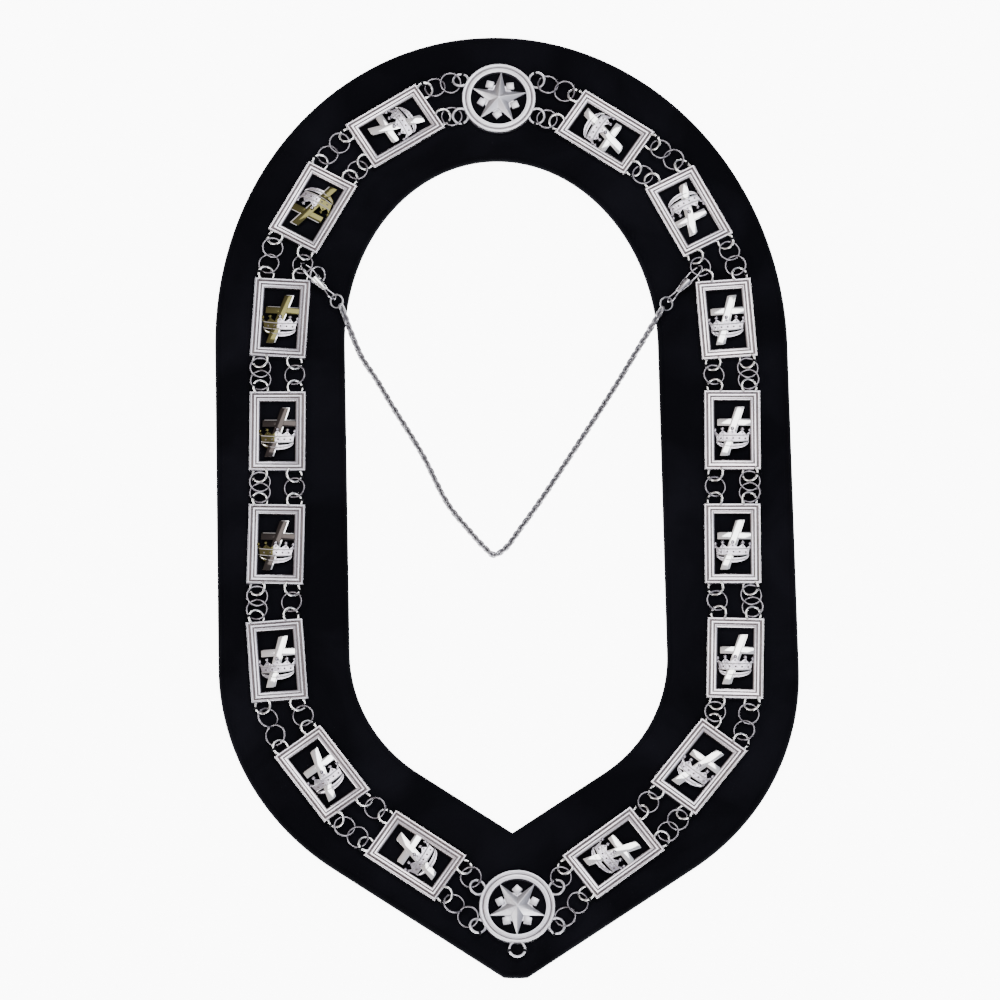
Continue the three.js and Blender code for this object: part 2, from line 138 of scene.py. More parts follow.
sky_tree.links.new(side_tint.outputs["Result"], background.inputs["Color"])
sky_tree.links.new(brightness.outputs["Result"], background.inputs["Strength"])
bpy.context.scene.world = sky


def soft_box(name, place, size, power):
    light = bpy.data.lights.new(name, "AREA")
    light.shape = "SQUARE"
    light.size = size
    light.energy = power
    lamp = bpy.data.objects.new(name, light)
    lamp.location = place
    lamp.rotation_euler = (Vector(place) - picture_centre).to_track_quat("Z", "Y").to_euler()
    bpy.context.collection.objects.link(lamp)


soft_box("mirror_box", place=(0.35, 0.95, 2.1), size=1.3, power=26)
soft_box("side_box", place=(-1.7, -0.5, 1.5), size=0.8, power=14)
soft_box("front_box", place=(0.5, -2.4, 2.2), size=1.6, power=60)
print("floor and lights set")

# %% [markdown]
# ## Shared effects
# Two effects serve several finishes, so each is a shader node group. The first is handled
# metal: a fine grain in the surface and cloudy changes of colour and gloss. The second is
# the nap of a cloth pile, brushed lighter in some places than in others.

# %% Handled metal group
def new_group(name, inputs, outputs):
    group = bpy.data.node_groups.new(name, "ShaderNodeTree")
    for label, kind, value in inputs:
        socket = group.interface.new_socket(label, in_out="INPUT", socket_type=kind)
        socket.default_value = value
    for label, kind in outputs:
        group.interface.new_socket(label, in_out="OUTPUT", socket_type=kind)
    return group, group.nodes.new("NodeGroupInput"), group.nodes.new("NodeGroupOutput")


def add_noise(group, scale, detail):
    texture = group.nodes.new("ShaderNodeTexNoise")
    texture.inputs["Detail"].default_value = detail
    group.links.new(scale, texture.inputs["Scale"])
    return texture


COLOR, VALUE, NORMAL = "NodeSocketColor", "NodeSocketFloat", "NodeSocketVector"
handled_metal, given, result = new_group(
    "handled_metal",
    [("Color", COLOR, (0.8, 0.8, 0.8, 1)), ("Cloud Color", COLOR, (0.6, 0.6, 0.6, 1)),
     ("Cloud Scale", VALUE, 60), ("Smooth Roughness", VALUE, 0.2), ("Dull Roughness", VALUE, 0.4),
     ("Grain Scale", VALUE, 1500), ("Grain Depth", VALUE, 0.1)],
    [("Color", COLOR), ("Roughness", VALUE), ("Normal", NORMAL)])
place = handled_metal.nodes.new("ShaderNodeTexCoord")
cloud = add_noise(handled_metal, given.outputs["Cloud Scale"], 3)
grain = add_noise(handled_metal, given.outputs["Grain Scale"], 2)
blend = color_mix(handled_metal)
gloss = handled_metal.nodes.new("ShaderNodeMapRange")
bump = handled_metal.nodes.new("ShaderNodeBump")
bump.inputs["Distance"].default_value = 0.0002
links = handled_metal.links
links.new(place.outputs["Object"], cloud.inputs["Vector"])
links.new(place.outputs["Object"], grain.inputs["Vector"])
links.new(cloud.outputs["Fac"], blend.inputs["Factor"])
links.new(given.outputs["Color"], blend.inputs["A"])
links.new(given.outputs["Cloud Color"], blend.inputs["B"])
links.new(cloud.outputs["Fac"], gloss.inputs["Value"])
links.new(given.outputs["Smooth Roughness"], gloss.inputs["To Min"])
links.new(given.outputs["Dull Roughness"], gloss.inputs["To Max"])
links.new(grain.outputs["Fac"], bump.inputs["Height"])
links.new(given.outputs["Grain Depth"], bump.inputs["Strength"])
links.new(blend.outputs["Result"], result.inputs["Color"])
links.new(gloss.outputs["Result"], result.inputs["Roughness"])
links.new(bump.outputs["Normal"], result.inputs["Normal"])
print("group", handled_metal.name, "has", len(handled_metal.nodes), "nodes")

# %% Cloth nap group
cloth_nap, given, result = new_group(
    "cloth_nap",
    [("Color", COLOR, (0.01, 0.01, 0.015, 1)), ("Brushed Color", COLOR, (0.03, 0.03, 0.04, 1)),
     ("Patch Scale", VALUE, 14), ("Pile Scale", VALUE, 2500), ("Pile Depth", VALUE, 0.5)],
    [("Color", COLOR), ("Roughness", VALUE), ("Normal", NORMAL)])
place = cloth_nap.nodes.new("ShaderNodeTexCoord")
patch = add_noise(cloth_nap, given.outputs["Patch Scale"], 5)
patch.inputs["Distortion"].default_value = 0.6
pile = add_noise(cloth_nap, given.outputs["Pile Scale"], 2)
brushed = map_range(cloth_nap, 0.42, 0.72, 0, 1)
blend = color_mix(cloth_nap)
dull = map_range(cloth_nap, 0, 1, 0.82, 1.0)
bump = cloth_nap.nodes.new("ShaderNodeBump")
bump.inputs["Distance"].default_value = 0.0004
links = cloth_nap.links
links.new(place.outputs["Object"], patch.inputs["Vector"])
links.new(place.outputs["Object"], pile.inputs["Vector"])
links.new(patch.outputs["Fac"], brushed.inputs["Value"])
links.new(brushed.outputs["Result"], blend.inputs["Factor"])
links.new(given.outputs["Color"], blend.inputs["A"])
links.new(given.outputs["Brushed Color"], blend.inputs["B"])
links.new(pile.outputs["Fac"], dull.inputs["Value"])
links.new(pile.outputs["Fac"], bump.inputs["Height"])
links.new(given.outputs["Pile Depth"], bump.inputs["Strength"])
links.new(blend.outputs["Result"], result.inputs["Color"])
links.new(dull.outputs["Result"], result.inputs["Roughness"])
links.new(bump.outputs["Normal"], result.inputs["Normal"])
print("group", cloth_nap.name, "has", len(cloth_nap.nodes), "nodes")

# %% [markdown]
# ## Finishes
# The castings are silver plate: satin on the frames, with darker grooves, frosted on the
# medallions and mirror-bright on the crosses. Down the left side the real ones mirror a darker
# part of the room, and three darker colours paint that in: painted shade on the frames and
# painted reflection on the crosses, not a darker silver. Rings and chain are greyer wire.
# Velvet is nearly black because its pile traps the light; a little sheen shows where we look
# along it. Each material places a shared group with its own values.

# %% Finishes
def finish_from(group, name, values, metallic=0.0):
    material = bpy.data.materials.new(name)
    material.use_nodes = True
    tree = material.node_tree
    shader = tree.nodes["Principled BSDF"]
    effect = tree.nodes.new("ShaderNodeGroup")
    effect.node_tree = group
    for label, value in values.items():
        effect.inputs[label].default_value = value
    tree.links.new(effect.outputs["Color"], shader.inputs["Base Color"])
    tree.links.new(effect.outputs["Roughness"], shader.inputs["Roughness"])
    tree.links.new(effect.outputs["Normal"], shader.inputs["Normal"])
    shader.inputs["Metallic"].default_value = metallic
    return material


def metal(name, color, cloud_color, smooth, dull, grain_scale, grain_depth, cloud_scale=60):
    return finish_from(handled_metal, name, {
        "Color": (*color, 1), "Cloud Color": (*cloud_color, 1), "Cloud Scale": cloud_scale,
        "Smooth Roughness": smooth, "Dull Roughness": dull,
        "Grain Scale": grain_scale, "Grain Depth": grain_depth}, metallic=1.0)


# Colour and its clouds, smooth and dull roughness, grain scale and depth, cloud scale
satin_silver = metal("satin_silver", (0.82, 0.75, 0.74), (0.57, 0.57, 0.65), 0.16, 0.32, 2200, 0.16, 55)
# Painted shade: a greyer copy of the satin silver for the frames down the left side, standing for the
# darker part of the room they mirror
satin_painted_shade = metal("satin_painted_shade", (0.62, 0.6, 0.64), (0.46, 0.45, 0.5), 0.2, 0.36, 2200, 0.16, 55)
groove_silver = metal("groove_silver", (0.19, 0.16, 0.155), (0.1, 0.09, 0.1), 0.4, 0.55, 2200, 0.2)
mirror_silver = metal("mirror_silver", (0.95, 0.95, 0.94), (0.88, 0.87, 0.84), 0.05, 0.12, 900, 0.02)
# Painted reflection: the next two dark colours stand for a dark part of the room mirrored in the crosses
# of the left plaques, not for a darker silver
painted_reflection_olive = metal("painted_reflection_olive", (0.13, 0.12, 0.045), (0.07, 0.062, 0.025), 0.08, 0.16, 900, 0.02, 90)
painted_reflection_dusk = metal("painted_reflection_dusk", (0.055, 0.047, 0.042), (0.035, 0.03, 0.03), 0.08, 0.16, 900, 0.02, 90)
crown_silver = metal("crown_silver", (0.7, 0.67, 0.72), (0.2, 0.18, 0.22), 0.12, 0.28, 900, 0.5, 420)
frosted_silver = metal("frosted_silver", (0.84, 0.82, 0.86), (0.6, 0.6, 0.64), 0.3, 0.46, 1800, 0.3)
ring_wire = metal("ring_wire", (0.36, 0.34, 0.37), (0.2, 0.19, 0.21), 0.16, 0.3, 1500, 0.08)
grey_wire = metal("grey_wire", (0.55, 0.53, 0.56), (0.38, 0.37, 0.4), 0.16, 0.3, 1500, 0.08)
chain_wire = metal("chain_wire", (0.46, 0.455, 0.475), (0.22, 0.215, 0.23), 0.26, 0.42, 1500, 0.1, 260)

black_velvet = finish_from(cloth_nap, "black_velvet", {
    "Color": (0.0018, 0.0018, 0.003, 1), "Brushed Color": (0.0045, 0.0045, 0.007, 1),
    "Patch Scale": 16, "Pile Scale": 2600, "Pile Depth": 0.5})
velvet_shader = black_velvet.node_tree.nodes["Principled BSDF"]
velvet_shader.inputs["Sheen Weight"].default_value = 0.025
velvet_shader.inputs["Sheen Roughness"].default_value = 0.4
velvet_shader.inputs["Sheen Tint"].default_value = (0.6, 0.62, 0.8, 1)
velvet_shader.inputs["Specular IOR Level"].default_value = 0.05

black_thread = finish_from(cloth_nap, "black_thread", {
    "Color": (0.006, 0.006, 0.008, 1), "Brushed Color": (0.02, 0.02, 0.025, 1),
    "Patch Scale": 300, "Pile Scale": 5000, "Pile Depth": 0.3})
black_thread.node_tree.nodes["Principled BSDF"].inputs["Specular IOR Level"].default_value = 0.2
print("materials:", len(bpy.data.materials))

# %% [markdown]
# ## The row of castings
# Every ring and lug takes its place from the row, so the row is worked out first, in
# millimetres as in the CAD: where each plaque lies, how far it is turned, and where its four
# lugs are. The back plaques hang reversed, and the whole collar leans a little.

# %% Driving sizes
PLAQUE_WIDTH, PLAQUE_LENGTH, PLAQUE_THICK, PLAQUE_GAP = 34, 51, 3.3, 22
PLAQUE_BORDER = 6.4
VELVET_THICK, SEAT_GAP = 4, 0.3
LUG_WIRE, LUG_RADIUS, LUG_REACH = 1.6, 4.6, 2.4
LUG_SPREAD = PLAQUE_WIDTH * 0.303
LUG_SINK = 0.75
LUG_TILT = math.radians(18)
RING_WIRE, RING_RADIUS, RING_CLEARANCE = 1.1, 6.1, 0.4
PAIR_SPAN, PAIR_STRETCH, PAIR_LIFT = 7.8, 0.38, 0.05
MEDALLION_RADIUS, MEDALLION_RIM = 22.5, 5.4
MEDALLION_LUG_ANGLE, MEDALLION_LUG_OFFSET = math.radians(27), 3.6
LEAN_RATE = 0.0211
REVERSED_PLAQUES = 2
PITCH = PLAQUE_LENGTH + PLAQUE_GAP
TRACK_HALF_WIDTH, TRACK_TOP, TRACK_BOTTOM = PITCH * 1.874, PITCH * 3.593, PITCH * -3.475
SHOULDER_Y = PITCH * 1.4
PLAQUE_BASE = VELVET_THICK + SEAT_GAP
LUG_PLANE = PLAQUE_BASE + PLAQUE_THICK - LUG_WIRE * 0.6
print("pitch of the row:", PITCH, "mm")

# %% Stations of the row
# x is a share of the row's half width, y is in pitches, turn is in degrees
STATIONS = {
    "left": [
        {"x": 0.452, "y": 3.34, "turn": -57.8}, {"x": 0.824, "y": 2.608, "turn": -28.9},
        {"x": 0.974, "y": 1.622, "turn": -3.2}, {"x": 0.993, "y": 0.622, "turn": 0},
        {"x": 1.006, "y": -0.368, "turn": -1}, {"x": 1.008, "y": -1.376, "turn": 4.5},
        {"x": 0.818, "y": -2.345, "turn": 36.6}, {"x": 0.422, "y": -3.042, "turn": 56},
    ],
    "right": [
        {"x": 0.481, "y": 3.286, "turn": 56.5}, {"x": 0.845, "y": 2.575, "turn": 27.9},
        {"x": 0.996, "y": 1.614, "turn": 4.3}, {"x": 1.007, "y": 0.632, "turn": 0},
        {"x": 0.992, "y": -0.362, "turn": 0}, {"x": 0.987, "y": -1.355, "turn": -1.4},
        {"x": 0.814, "y": -2.286, "turn": -37.6}, {"x": 0.434, "y": -3.02, "turn": -53},
    ],
}
MEDALLION_SHARE = 0.013
TOP_STAR_TURN = -0.09


def lean(x, y):
    return Vector((x - LEAN_RATE * y, y))


def make_lug(x, y, heading, reach, **facts):
    return {"x": x, "y": y, "heading": heading, "reach": reach, "axis": heading, "tilt": 0, **facts}


def plaque_lugs(sign):
    lugs = []
    for end in (1, -1):
        for across in (sign, -sign):
            strand = "outer" if across == sign else "inner"
            lugs.append(make_lug(across * LUG_SPREAD, end * (PLAQUE_LENGTH / 2 + LUG_REACH),
                                 end * math.pi / 2, LUG_REACH, end=end, strand=strand,
                                 corner=across * end))
    return lugs


def medallion_lugs(outer_end):
    lugs = []
    reach = MEDALLION_RADIUS + MEDALLION_LUG_OFFSET
    for sign in (1, -1):
        for end in (1, -1):
            heading = end * MEDALLION_LUG_ANGLE if sign > 0 else math.pi - end * MEDALLION_LUG_ANGLE
            strand = "outer" if end == outer_end else "inner"
            lugs.append(make_lug(math.cos(heading) * reach, math.sin(heading) * reach, heading,
                                 MEDALLION_LUG_OFFSET, sign=sign, strand=strand,
                                 corner=-end * sign))
    return lugs


def plaque_casting(side, row):
    station = STATIONS[side][row]
    sign = -1 if side == "left" else 1
    return {"name": f"plaque_{side}_{row + 1}", "kind": "plaque",
            "at": lean(sign * station["x"] * TRACK_HALF_WIDTH, station["y"] * PITCH),
            "turn": math.radians(station["turn"]), "reversed": row < REVERSED_PLAQUES,
            "lugs": plaque_lugs(sign)}


def medallion_casting(name, y, star_turn, lugs):
    return {"name": name, "kind": "medallion", "at": lean(MEDALLION_SHARE * TRACK_HALF_WIDTH, y),
            "turn": 0, "star_turn": star_turn, "lugs": lugs}


drop_lug = make_lug(0, -MEDALLION_RADIUS - MEDALLION_LUG_OFFSET, -math.pi / 2,
                    MEDALLION_LUG_OFFSET, strand="drop", corner=-1)
medallion_top = medallion_casting("medallion_top", TRACK_TOP, TOP_STAR_TURN, medallion_lugs(1))
medallion_bottom = medallion_casting("medallion_bottom", TRACK_BOTTOM, math.pi,
                                     [*medallion_lugs(-1), drop_lug])
plaques = {side: [plaque_casting(side, row) for row in range(8)] for side in STATIONS}
print("castings:", 2 + sum(len(row) for row in plaques.values()))

# %% [markdown]
# ## Rings between the castings
# Each gap has an outer and an inner joint. A single ring is turned about the line between its
# two lugs, so it runs over one side of each lug and under the other. Two rings in a row are
# turned against each other and touch where they cross.

# %% Lay out the rings
def lug_centre(casting, lug):
    return Matrix.Rotation(casting["turn"], 2) @ Vector((lug["x"], lug["y"])) + casting["at"]


def crossing_height(reach, radius_a, radius_b):
    along = (reach ** 2 + radius_a ** 2 - radius_b ** 2) / (2 * reach)
    return math.sqrt(max(1, radius_a ** 2 - along ** 2))


def heading_of(vector):
    return math.atan2(vector.y, vector.x)


def ring_place(centre, heading, roll, level):
    return (Matrix.Translation((centre.x, centre.y, level))
            @ Matrix.Rotation(heading, 4, "Z") @ Matrix.Rotation(roll, 4, "X"))


def single_ring(start, end, hand):
    span = end - start
    cross = crossing_height(span.length / 2, RING_RADIUS, LUG_RADIUS)
    rise = LUG_WIRE / 2 + RING_WIRE / 2 + RING_CLEARANCE
    needed = math.asin(min(1, rise / cross))
    middle = (start + end) / 2
    return [ring_place(middle, heading_of(span), -hand * (needed - LUG_TILT), LUG_PLANE)]


def ring_pair(start, end):
    span = end - start
    seat = RING_RADIUS + RING_WIRE / 2 + RING_CLEARANCE - LUG_REACH
    spare = max(0, span.length - 2 * seat - PAIR_SPAN)
    apart = min(span.length - 2 * seat, PAIR_SPAN) + spare * PAIR_STRETCH
    cross = crossing_height(apart, RING_RADIUS, RING_RADIUS)
    roll = math.asin(RING_WIRE / (2 * cross))
    low = RING_RADIUS * math.sin(roll) + RING_WIRE / 2
    level = max(LUG_PLANE, VELVET_THICK + PAIR_LIFT + low)
    middle = (start + end) / 2
    half = span.normalized() * apart / 2
    return [ring_place(middle - half, heading_of(span), -roll, level),
            ring_place(middle + half, heading_of(span), roll, level)]


ring_places = {}
single_centres = {}
for side, row in plaques.items():
    sign = -1 if side == "left" else 1
    castings = [medallion_top, *row, medallion_bottom]
    for gap, (above, below) in enumerate(zip(castings, castings[1:])):
        for strand in ("outer", "inner"):
            lug_a = next(lug for lug in above["lugs"] if lug["strand"] == strand
                         and (lug.get("end") == -1 or lug.get("sign") == sign))
            lug_b = next(lug for lug in below["lugs"] if lug["strand"] == strand
                         and (lug.get("end") == 1 or lug.get("sign") == sign))
            start, end = lug_centre(above, lug_a), lug_centre(below, lug_b)
            heading = heading_of(end - start)
            hand = 1 if strand == "outer" else sign
            lug_a.update(axis=heading - above["turn"], tilt=hand * LUG_TILT)
            lug_b.update(axis=heading - below["turn"],
                         tilt=-LUG_TILT if strand == "outer" else hand * LUG_TILT)
            if strand == "outer":
                ring_places[f"outer_rings_{side}_{gap + 1}"] = ring_pair(start, end)
            else:
                ring_places[f"inner_ring_{side}_{gap + 1}"] = single_ring(start, end, sign)
                single_centres[side, gap] = (start + end) / 2
print("ring nodes:", len(ring_places))

# %% [markdown]
# ## Helpers for making pieces
# A template is a small mesh made once. Stamping copies it into a piece at some place, which
# is how sixteen plaques share one frame. When a piece is done it is moved to the frame's own
# origin, scaled from millimetres to metres, and the CAD node it stands for is hidden.

# %% Template, stamp and finish
MM = 0.001
FULL_TURN = 2 * math.pi
SHARP_ANGLE = math.radians(34)
velvet_low, velvet_high = (Vector(corner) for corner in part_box("velvet_band"))
# The CAD puts its own middle over the origin, which moves the row by this much
row_shift = Vector((-0.023, 0.344, 0))


def template(name, bm):
    bmesh.ops.remove_doubles(bm, verts=bm.verts, dist=1e-4)
    bmesh.ops.recalc_face_normals(bm, faces=bm.faces)
    mesh = bpy.data.meshes.new(name)
    bm.to_mesh(mesh)
    bm.free()
    return mesh


def stamp(bm, mesh, place=None, material=None):
    old_verts, old_faces = len(bm.verts), len(bm.faces)
    bm.from_mesh(mesh)
    bm.verts.ensure_lookup_table()
    bm.faces.ensure_lookup_table()
    if place is not None:
        bmesh.ops.transform(bm, matrix=place, verts=bm.verts[old_verts:])
    if material is not None:
        for face in bm.faces[old_faces:]:
            face.material_index = material


def finish_piece(bm, name, materials, node, body="collar"):
    bmesh.ops.translate(bm, verts=bm.verts, vec=row_shift)
    bmesh.ops.scale(bm, verts=bm.verts, vec=(MM, MM, MM))
    for face in bm.faces:
        face.smooth = True
    for edge in bm.edges:
        edge.smooth = len(edge.link_faces) != 2 or edge.calc_face_angle() < SHARP_ANGLE
    mesh = bpy.data.meshes.new(name)
    bm.to_mesh(mesh)
    bm.free()
    for material in materials:
        mesh.materials.append(material)
    piece = bpy.data.objects.new(name, mesh)
    bpy.context.collection.objects.link(piece)
    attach(piece, body)
    if node:
        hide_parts(node)
    return piece


def rotate_mesh(bm, angle, axis, verts=None):
    bmesh.ops.rotate(bm, verts=verts or bm.verts, cent=(0, 0, 0),
                     matrix=Matrix.Rotation(angle, 3, axis))


def round_edges(bm, edges, offset, segments=2):
    bmesh.ops.bevel(bm, geom=edges, offset=offset, offset_type="OFFSET", segments=segments,
                    profile=0.5, affect="EDGES", material=-1)


def wire_arc(radius, wire, around, sides, start=0, angle=FULL_TURN):
    """A stretch of round wire bent about Z; a full turn closes on itself."""
    bm = bmesh.new()
    section = bmesh.ops.create_circle(bm, segments=sides, radius=wire / 2)["verts"]
    rotate_mesh(bm, math.pi / 2, "X")
    bmesh.ops.translate(bm, verts=section, vec=(radius, 0, 0))
    rotate_mesh(bm, start, "Z")
    full = angle == FULL_TURN
    bmesh.ops.spin(bm, geom=bm.verts[:] + bm.edges[:], cent=(0, 0, 0), axis=(0, 0, 1),
                   angle=angle, steps=around, use_merge=full)
    if not full:
        bmesh.ops.holes_fill(bm, edges=[e for e in bm.edges if e.is_boundary])
    return bm


print("velvet box from the frame:", [round(v, 4) for v in velvet_high - velvet_low])

# %% [markdown]
# ## Velvet band
# The real band is stiff cloth covered in black velvet and sewn round its edges, so its rim is
# soft and a faint line of stitching sinks in just inside it. We could let a cloth simulation
# puff a slab, but the pad is thin and flat; one strip of grid laid round the outline, with
# the rim drawn as a short profile, keeps the edge clean. One end of the strip meets the other.

# %% Velvet outline and profile
OUTER_MARGIN, TOP_MARGIN = PLAQUE_WIDTH / 2 + 19.2, PLAQUE_WIDTH / 2 + 25
INNER_MARGIN, POINT_MARGIN = PLAQUE_WIDTH / 2 + 25.3, 47
INNER_TOP_LIFT, POINT_BLUNT = 2.5, 4.5
POINT_ANGLE = math.radians(34)
OUTER_BEND, INNER_BEND = 150, 90
TOP_STEPS, SIDE_STEPS, BEND_STEPS, POINT_STEPS = 120, 44, 30, 30


def outline(half_width, top_y, point_y, bend):
    """The outline from the right shoulder over the top, down the left side to the point and
    up the right side again."""
    end_x = half_width - bend + bend * math.sin(POINT_ANGLE)
    end_y = point_y + end_x * math.tan(POINT_ANGLE)
    bend_y = end_y + bend * math.cos(POINT_ANGLE)
    turn = math.pi / 2 - POINT_ANGLE
    arch = [Vector((half_width * math.cos(math.pi * i / TOP_STEPS),
                    SHOULDER_Y + (top_y - SHOULDER_Y) * math.sin(math.pi * i / TOP_STEPS)))
            for i in range(TOP_STEPS)]
    side = [Vector((-half_width, SHOULDER_Y + (bend_y - SHOULDER_Y) * i / SIDE_STEPS))
            for i in range(SIDE_STEPS)]
    corner = [Vector((-half_width + bend - bend * math.cos(turn * i / BEND_STEPS),
                      bend_y - bend * math.sin(turn * i / BEND_STEPS))) for i in range(BEND_STEPS)]
    slope = [Vector((-end_x, end_y)).lerp(Vector((0, point_y)), i / POINT_STEPS)
             for i in range(POINT_STEPS)]
    left = side + corner + slope
    right = [Vector((-p.x, p.y)) for p in reversed(left[1:])]
    return [lean(*p) for p in arch + left + [Vector((0, point_y))] + right]


outer_line = outline(TRACK_HALF_WIDTH + OUTER_MARGIN, TRACK_TOP + TOP_MARGIN,
                     TRACK_BOTTOM - POINT_MARGIN, OUTER_BEND)
tip_y = TRACK_BOTTOM - POINT_MARGIN + POINT_BLUNT
outer_line = [Vector((p.x, max(p.y, tip_y))) for p in outer_line]
inner_line = outline(TRACK_HALF_WIDTH - INNER_MARGIN, TRACK_TOP - INNER_MARGIN + INNER_TOP_LIFT,
                     TRACK_BOTTOM + POINT_MARGIN, INNER_BEND)

# The rim from the underside up: distance from the edge and height
RIM = [(1.6, 0.0), (0.5, 0.25), (0.05, 1.0), (0.0, 2.2), (0.25, 3.1), (0.8, 3.65), (1.6, 3.92),
       (2.3, 3.9), (2.7, 3.72), (3.0, 3.55), (3.3, 3.74), (3.8, 3.94), (4.8, 4.0)]
TOP_COLUMNS, UNDER_COLUMNS = 34, 10
rim_in = RIM[-1][0]
top_run = [(i / TOP_COLUMNS, VELVET_THICK) for i in range(1, TOP_COLUMNS)]
under_run = [(1 - i / UNDER_COLUMNS, 0.0) for i in range(1, UNDER_COLUMNS)]
SWELL, SWELL_SPAN, SWELL_LEVEL, SWELL_ABOVE = 0.22, 26, 0.35, 3


def section_point(column, width):
    """Distance from the inner edge and height of one column of the closed section."""
    if column < len(RIM):
        return RIM[column]
    column -= len(RIM)
    if column < len(top_run):
        share, height = top_run[column]
        return rim_in + (width - 2 * rim_in) * share, height
    column -= len(top_run)
    if column < len(RIM):
        edge, height = RIM[-1 - column]
        return width - edge, height
    share, height = under_run[column - len(RIM)]
    return RIM[0][0] + (width - 2 * RIM[0][0]) * share, height


stations_round, columns = len(outer_line), 2 * len(RIM) + len(top_run) + len(under_run)
print("velvet strip:", stations_round, "stations of", columns, "columns")

# %% Velvet band
bm = bmesh.new()
bmesh.ops.create_grid(bm, x_segments=stations_round, y_segments=columns, size=1)
for vert in bm.verts:
    station = round((vert.co.x + 1) / 2 * stations_round) % stations_round
    column = round((vert.co.y + 1) / 2 * columns) % columns
    inner, outer = inner_line[station], outer_line[station]
    across, height = section_point(column, (outer - inner).length)
    flat = inner + (outer - inner).normalized() * across
    if height > SWELL_ABOVE:
        soft = noise.noise(Vector((flat.x / SWELL_SPAN, flat.y / SWELL_SPAN, 0)))
        height += SWELL * (soft - SWELL_LEVEL)
    vert.co = (flat.x, flat.y, height)
bmesh.ops.remove_doubles(bm, verts=bm.verts, dist=1e-3)
bmesh.ops.recalc_face_normals(bm, faces=bm.faces)
print("velvet band:", len(bm.faces), "faces, closed:", all(e.is_manifold for e in bm.edges))
velvet = finish_piece(bm, "velvet_cover", [black_velvet], "velvet_band")

# %% [markdown]
# ## Plaque frames
# A plaque's frame is a moulding with two cut grooves, mitred at its corners. Spinning the
# moulding's section in four steps gives a square ring with mitred corners, and pushing its
# halves apart makes the rectangle. The groove faces get a darker colour.

# %% Frame template
# Distance in from the outside, and height, of the moulding's section
MOULDING = [
    (0.0, 0.0), (0.0, 2.7), (0.25, 3.1), (0.6, 3.3), (1.1, 3.28), (1.4, 3.1), (1.55, 2.2), (2.35, 2.2),
    (2.5, 3.05), (2.8, 3.28), (3.3, 3.3), (3.75, 3.1), (3.9, 2.5), (4.4, 2.5), (4.5, 3.0),
    (4.75, 3.12), (5.3, 3.02), (6.1, 2.6), (6.4, 2.2), (6.4, 0.0),
]
# Faces between these heights that look upwards are groove, not moulding
FRAME_GROOVE_LOW, RIM_GROOVE_LOW, GROOVE_HIGH = 2.1, 2.0, 2.75
GROOVE_LOOKS_UP = 0.2
# Which finish a face has, counted in the casting's list of materials
SATIN, GROOVE, MIRROR, CROWN, CROSS_FACE, CROWN_LEFT = range(6)


def spun_section(points, steps):
    bm = bmesh.new()
    verts = [bm.verts.new((radius, 0, height)) for radius, height in points]
    for a, b in zip(verts, verts[1:] + verts[:1]):
        bm.edges.new((a, b))
    bmesh.ops.spin(bm, geom=bm.verts[:] + bm.edges[:], cent=(0, 0, 0), axis=(0, 0, 1),
                   angle=FULL_TURN, steps=steps, use_merge=True)
    bmesh.ops.recalc_face_normals(bm, faces=bm.faces)
    return bm


def darken_grooves(bm, low):
    dark = 0
    for face in bm.faces:
        heights = [v.co.z for v in face.verts]
        middle = sum(heights) / len(heights)
        if low < middle < GROOVE_HIGH and face.normal.z > GROOVE_LOOKS_UP:
            face.material_index = GROOVE
            dark += 1
    return dark


half_w, half_l = PLAQUE_WIDTH / 2, PLAQUE_LENGTH / 2
bm = spun_section([((half_w - inset) * math.sqrt(2), height) for inset, height in MOULDING], 4)
rotate_mesh(bm, math.pi / 4, "Z")
for vert in bm.verts:
    vert.co.y += math.copysign(half_l - half_w, vert.co.y)
darkened = darken_grooves(bm, FRAME_GROOVE_LOW)
print("frame:", len(bm.faces), "faces,", darkened, "in the grooves")
frame_template = template("frame_template", bm)

# %% [markdown]
# ## Cross and crown
# In each window a plain polished cross leans through a crown. The cross is three bars with
# softly rounded edges and a bright step beside each; its foot comes out in front of the
# crown. The crown is a curved band seen from the front: a grid bulged towards us, with its top
# edge cut into five leaves that end in beads and a row of dark round holes. A rim that sags in
# the middle lies below the band, and three thin wires run along both.

# %% Cross template
WINDOW_HALF_W = PLAQUE_WIDTH / 2 - PLAQUE_BORDER
WINDOW_HALF_L = PLAQUE_LENGTH / 2 - PLAQUE_BORDER
CROSS_WIDTH, BAR_ROUNDING = 4.8, 0.3
# The upright ends behind the crown, and the foot begins there, further forward
UPRIGHT_END, FOOT_TOP = -6, -7
UPRIGHT_LEVELS, FOOT_LEVELS, ARM_LEVELS = (0.6, 2.9), (1.7, 3.7), (0.6, 2.8)
FACING_UP = 0.8
# A step beside each bar, seen as a bright line down its right side
STEP = Vector((0.95, 0.45, -0.4))
WALL_BITE = 0.6
foot_x, head_x = -0.5 * WINDOW_HALF_W, 0.4 * WINDOW_HALF_W
foot_y, head_y = -0.89 * WINDOW_HALF_L, 0.77 * WINDOW_HALF_L
slant = (head_x - foot_x) / (head_y - foot_y)


def upright_x(y):
    return foot_x + (y - foot_y) * slant - CROSS_WIDTH / 2


def multiply(a, b):
    return Vector((a.x * b.x, a.y * b.y, a.z * b.z))


def leaning_bar(y_low, y_high, levels):
    """Low corner, high corner and sideways shift of the upper end."""
    x = upright_x(y_low)
    return ((x, y_low, levels[0]), (x + CROSS_WIDTH, y_high, levels[1]),
            slant * (y_high - y_low))


bars = [
    leaning_bar(UPRIGHT_END, head_y, UPRIGHT_LEVELS),
    leaning_bar(foot_y, FOOT_TOP, FOOT_LEVELS),
    ((-0.86 * WINDOW_HALF_W, 0.135 * WINDOW_HALF_L, ARM_LEVELS[0]),
     (WINDOW_HALF_W + WALL_BITE, 0.36 * WINDOW_HALF_L, ARM_LEVELS[1]), 0.0),
]


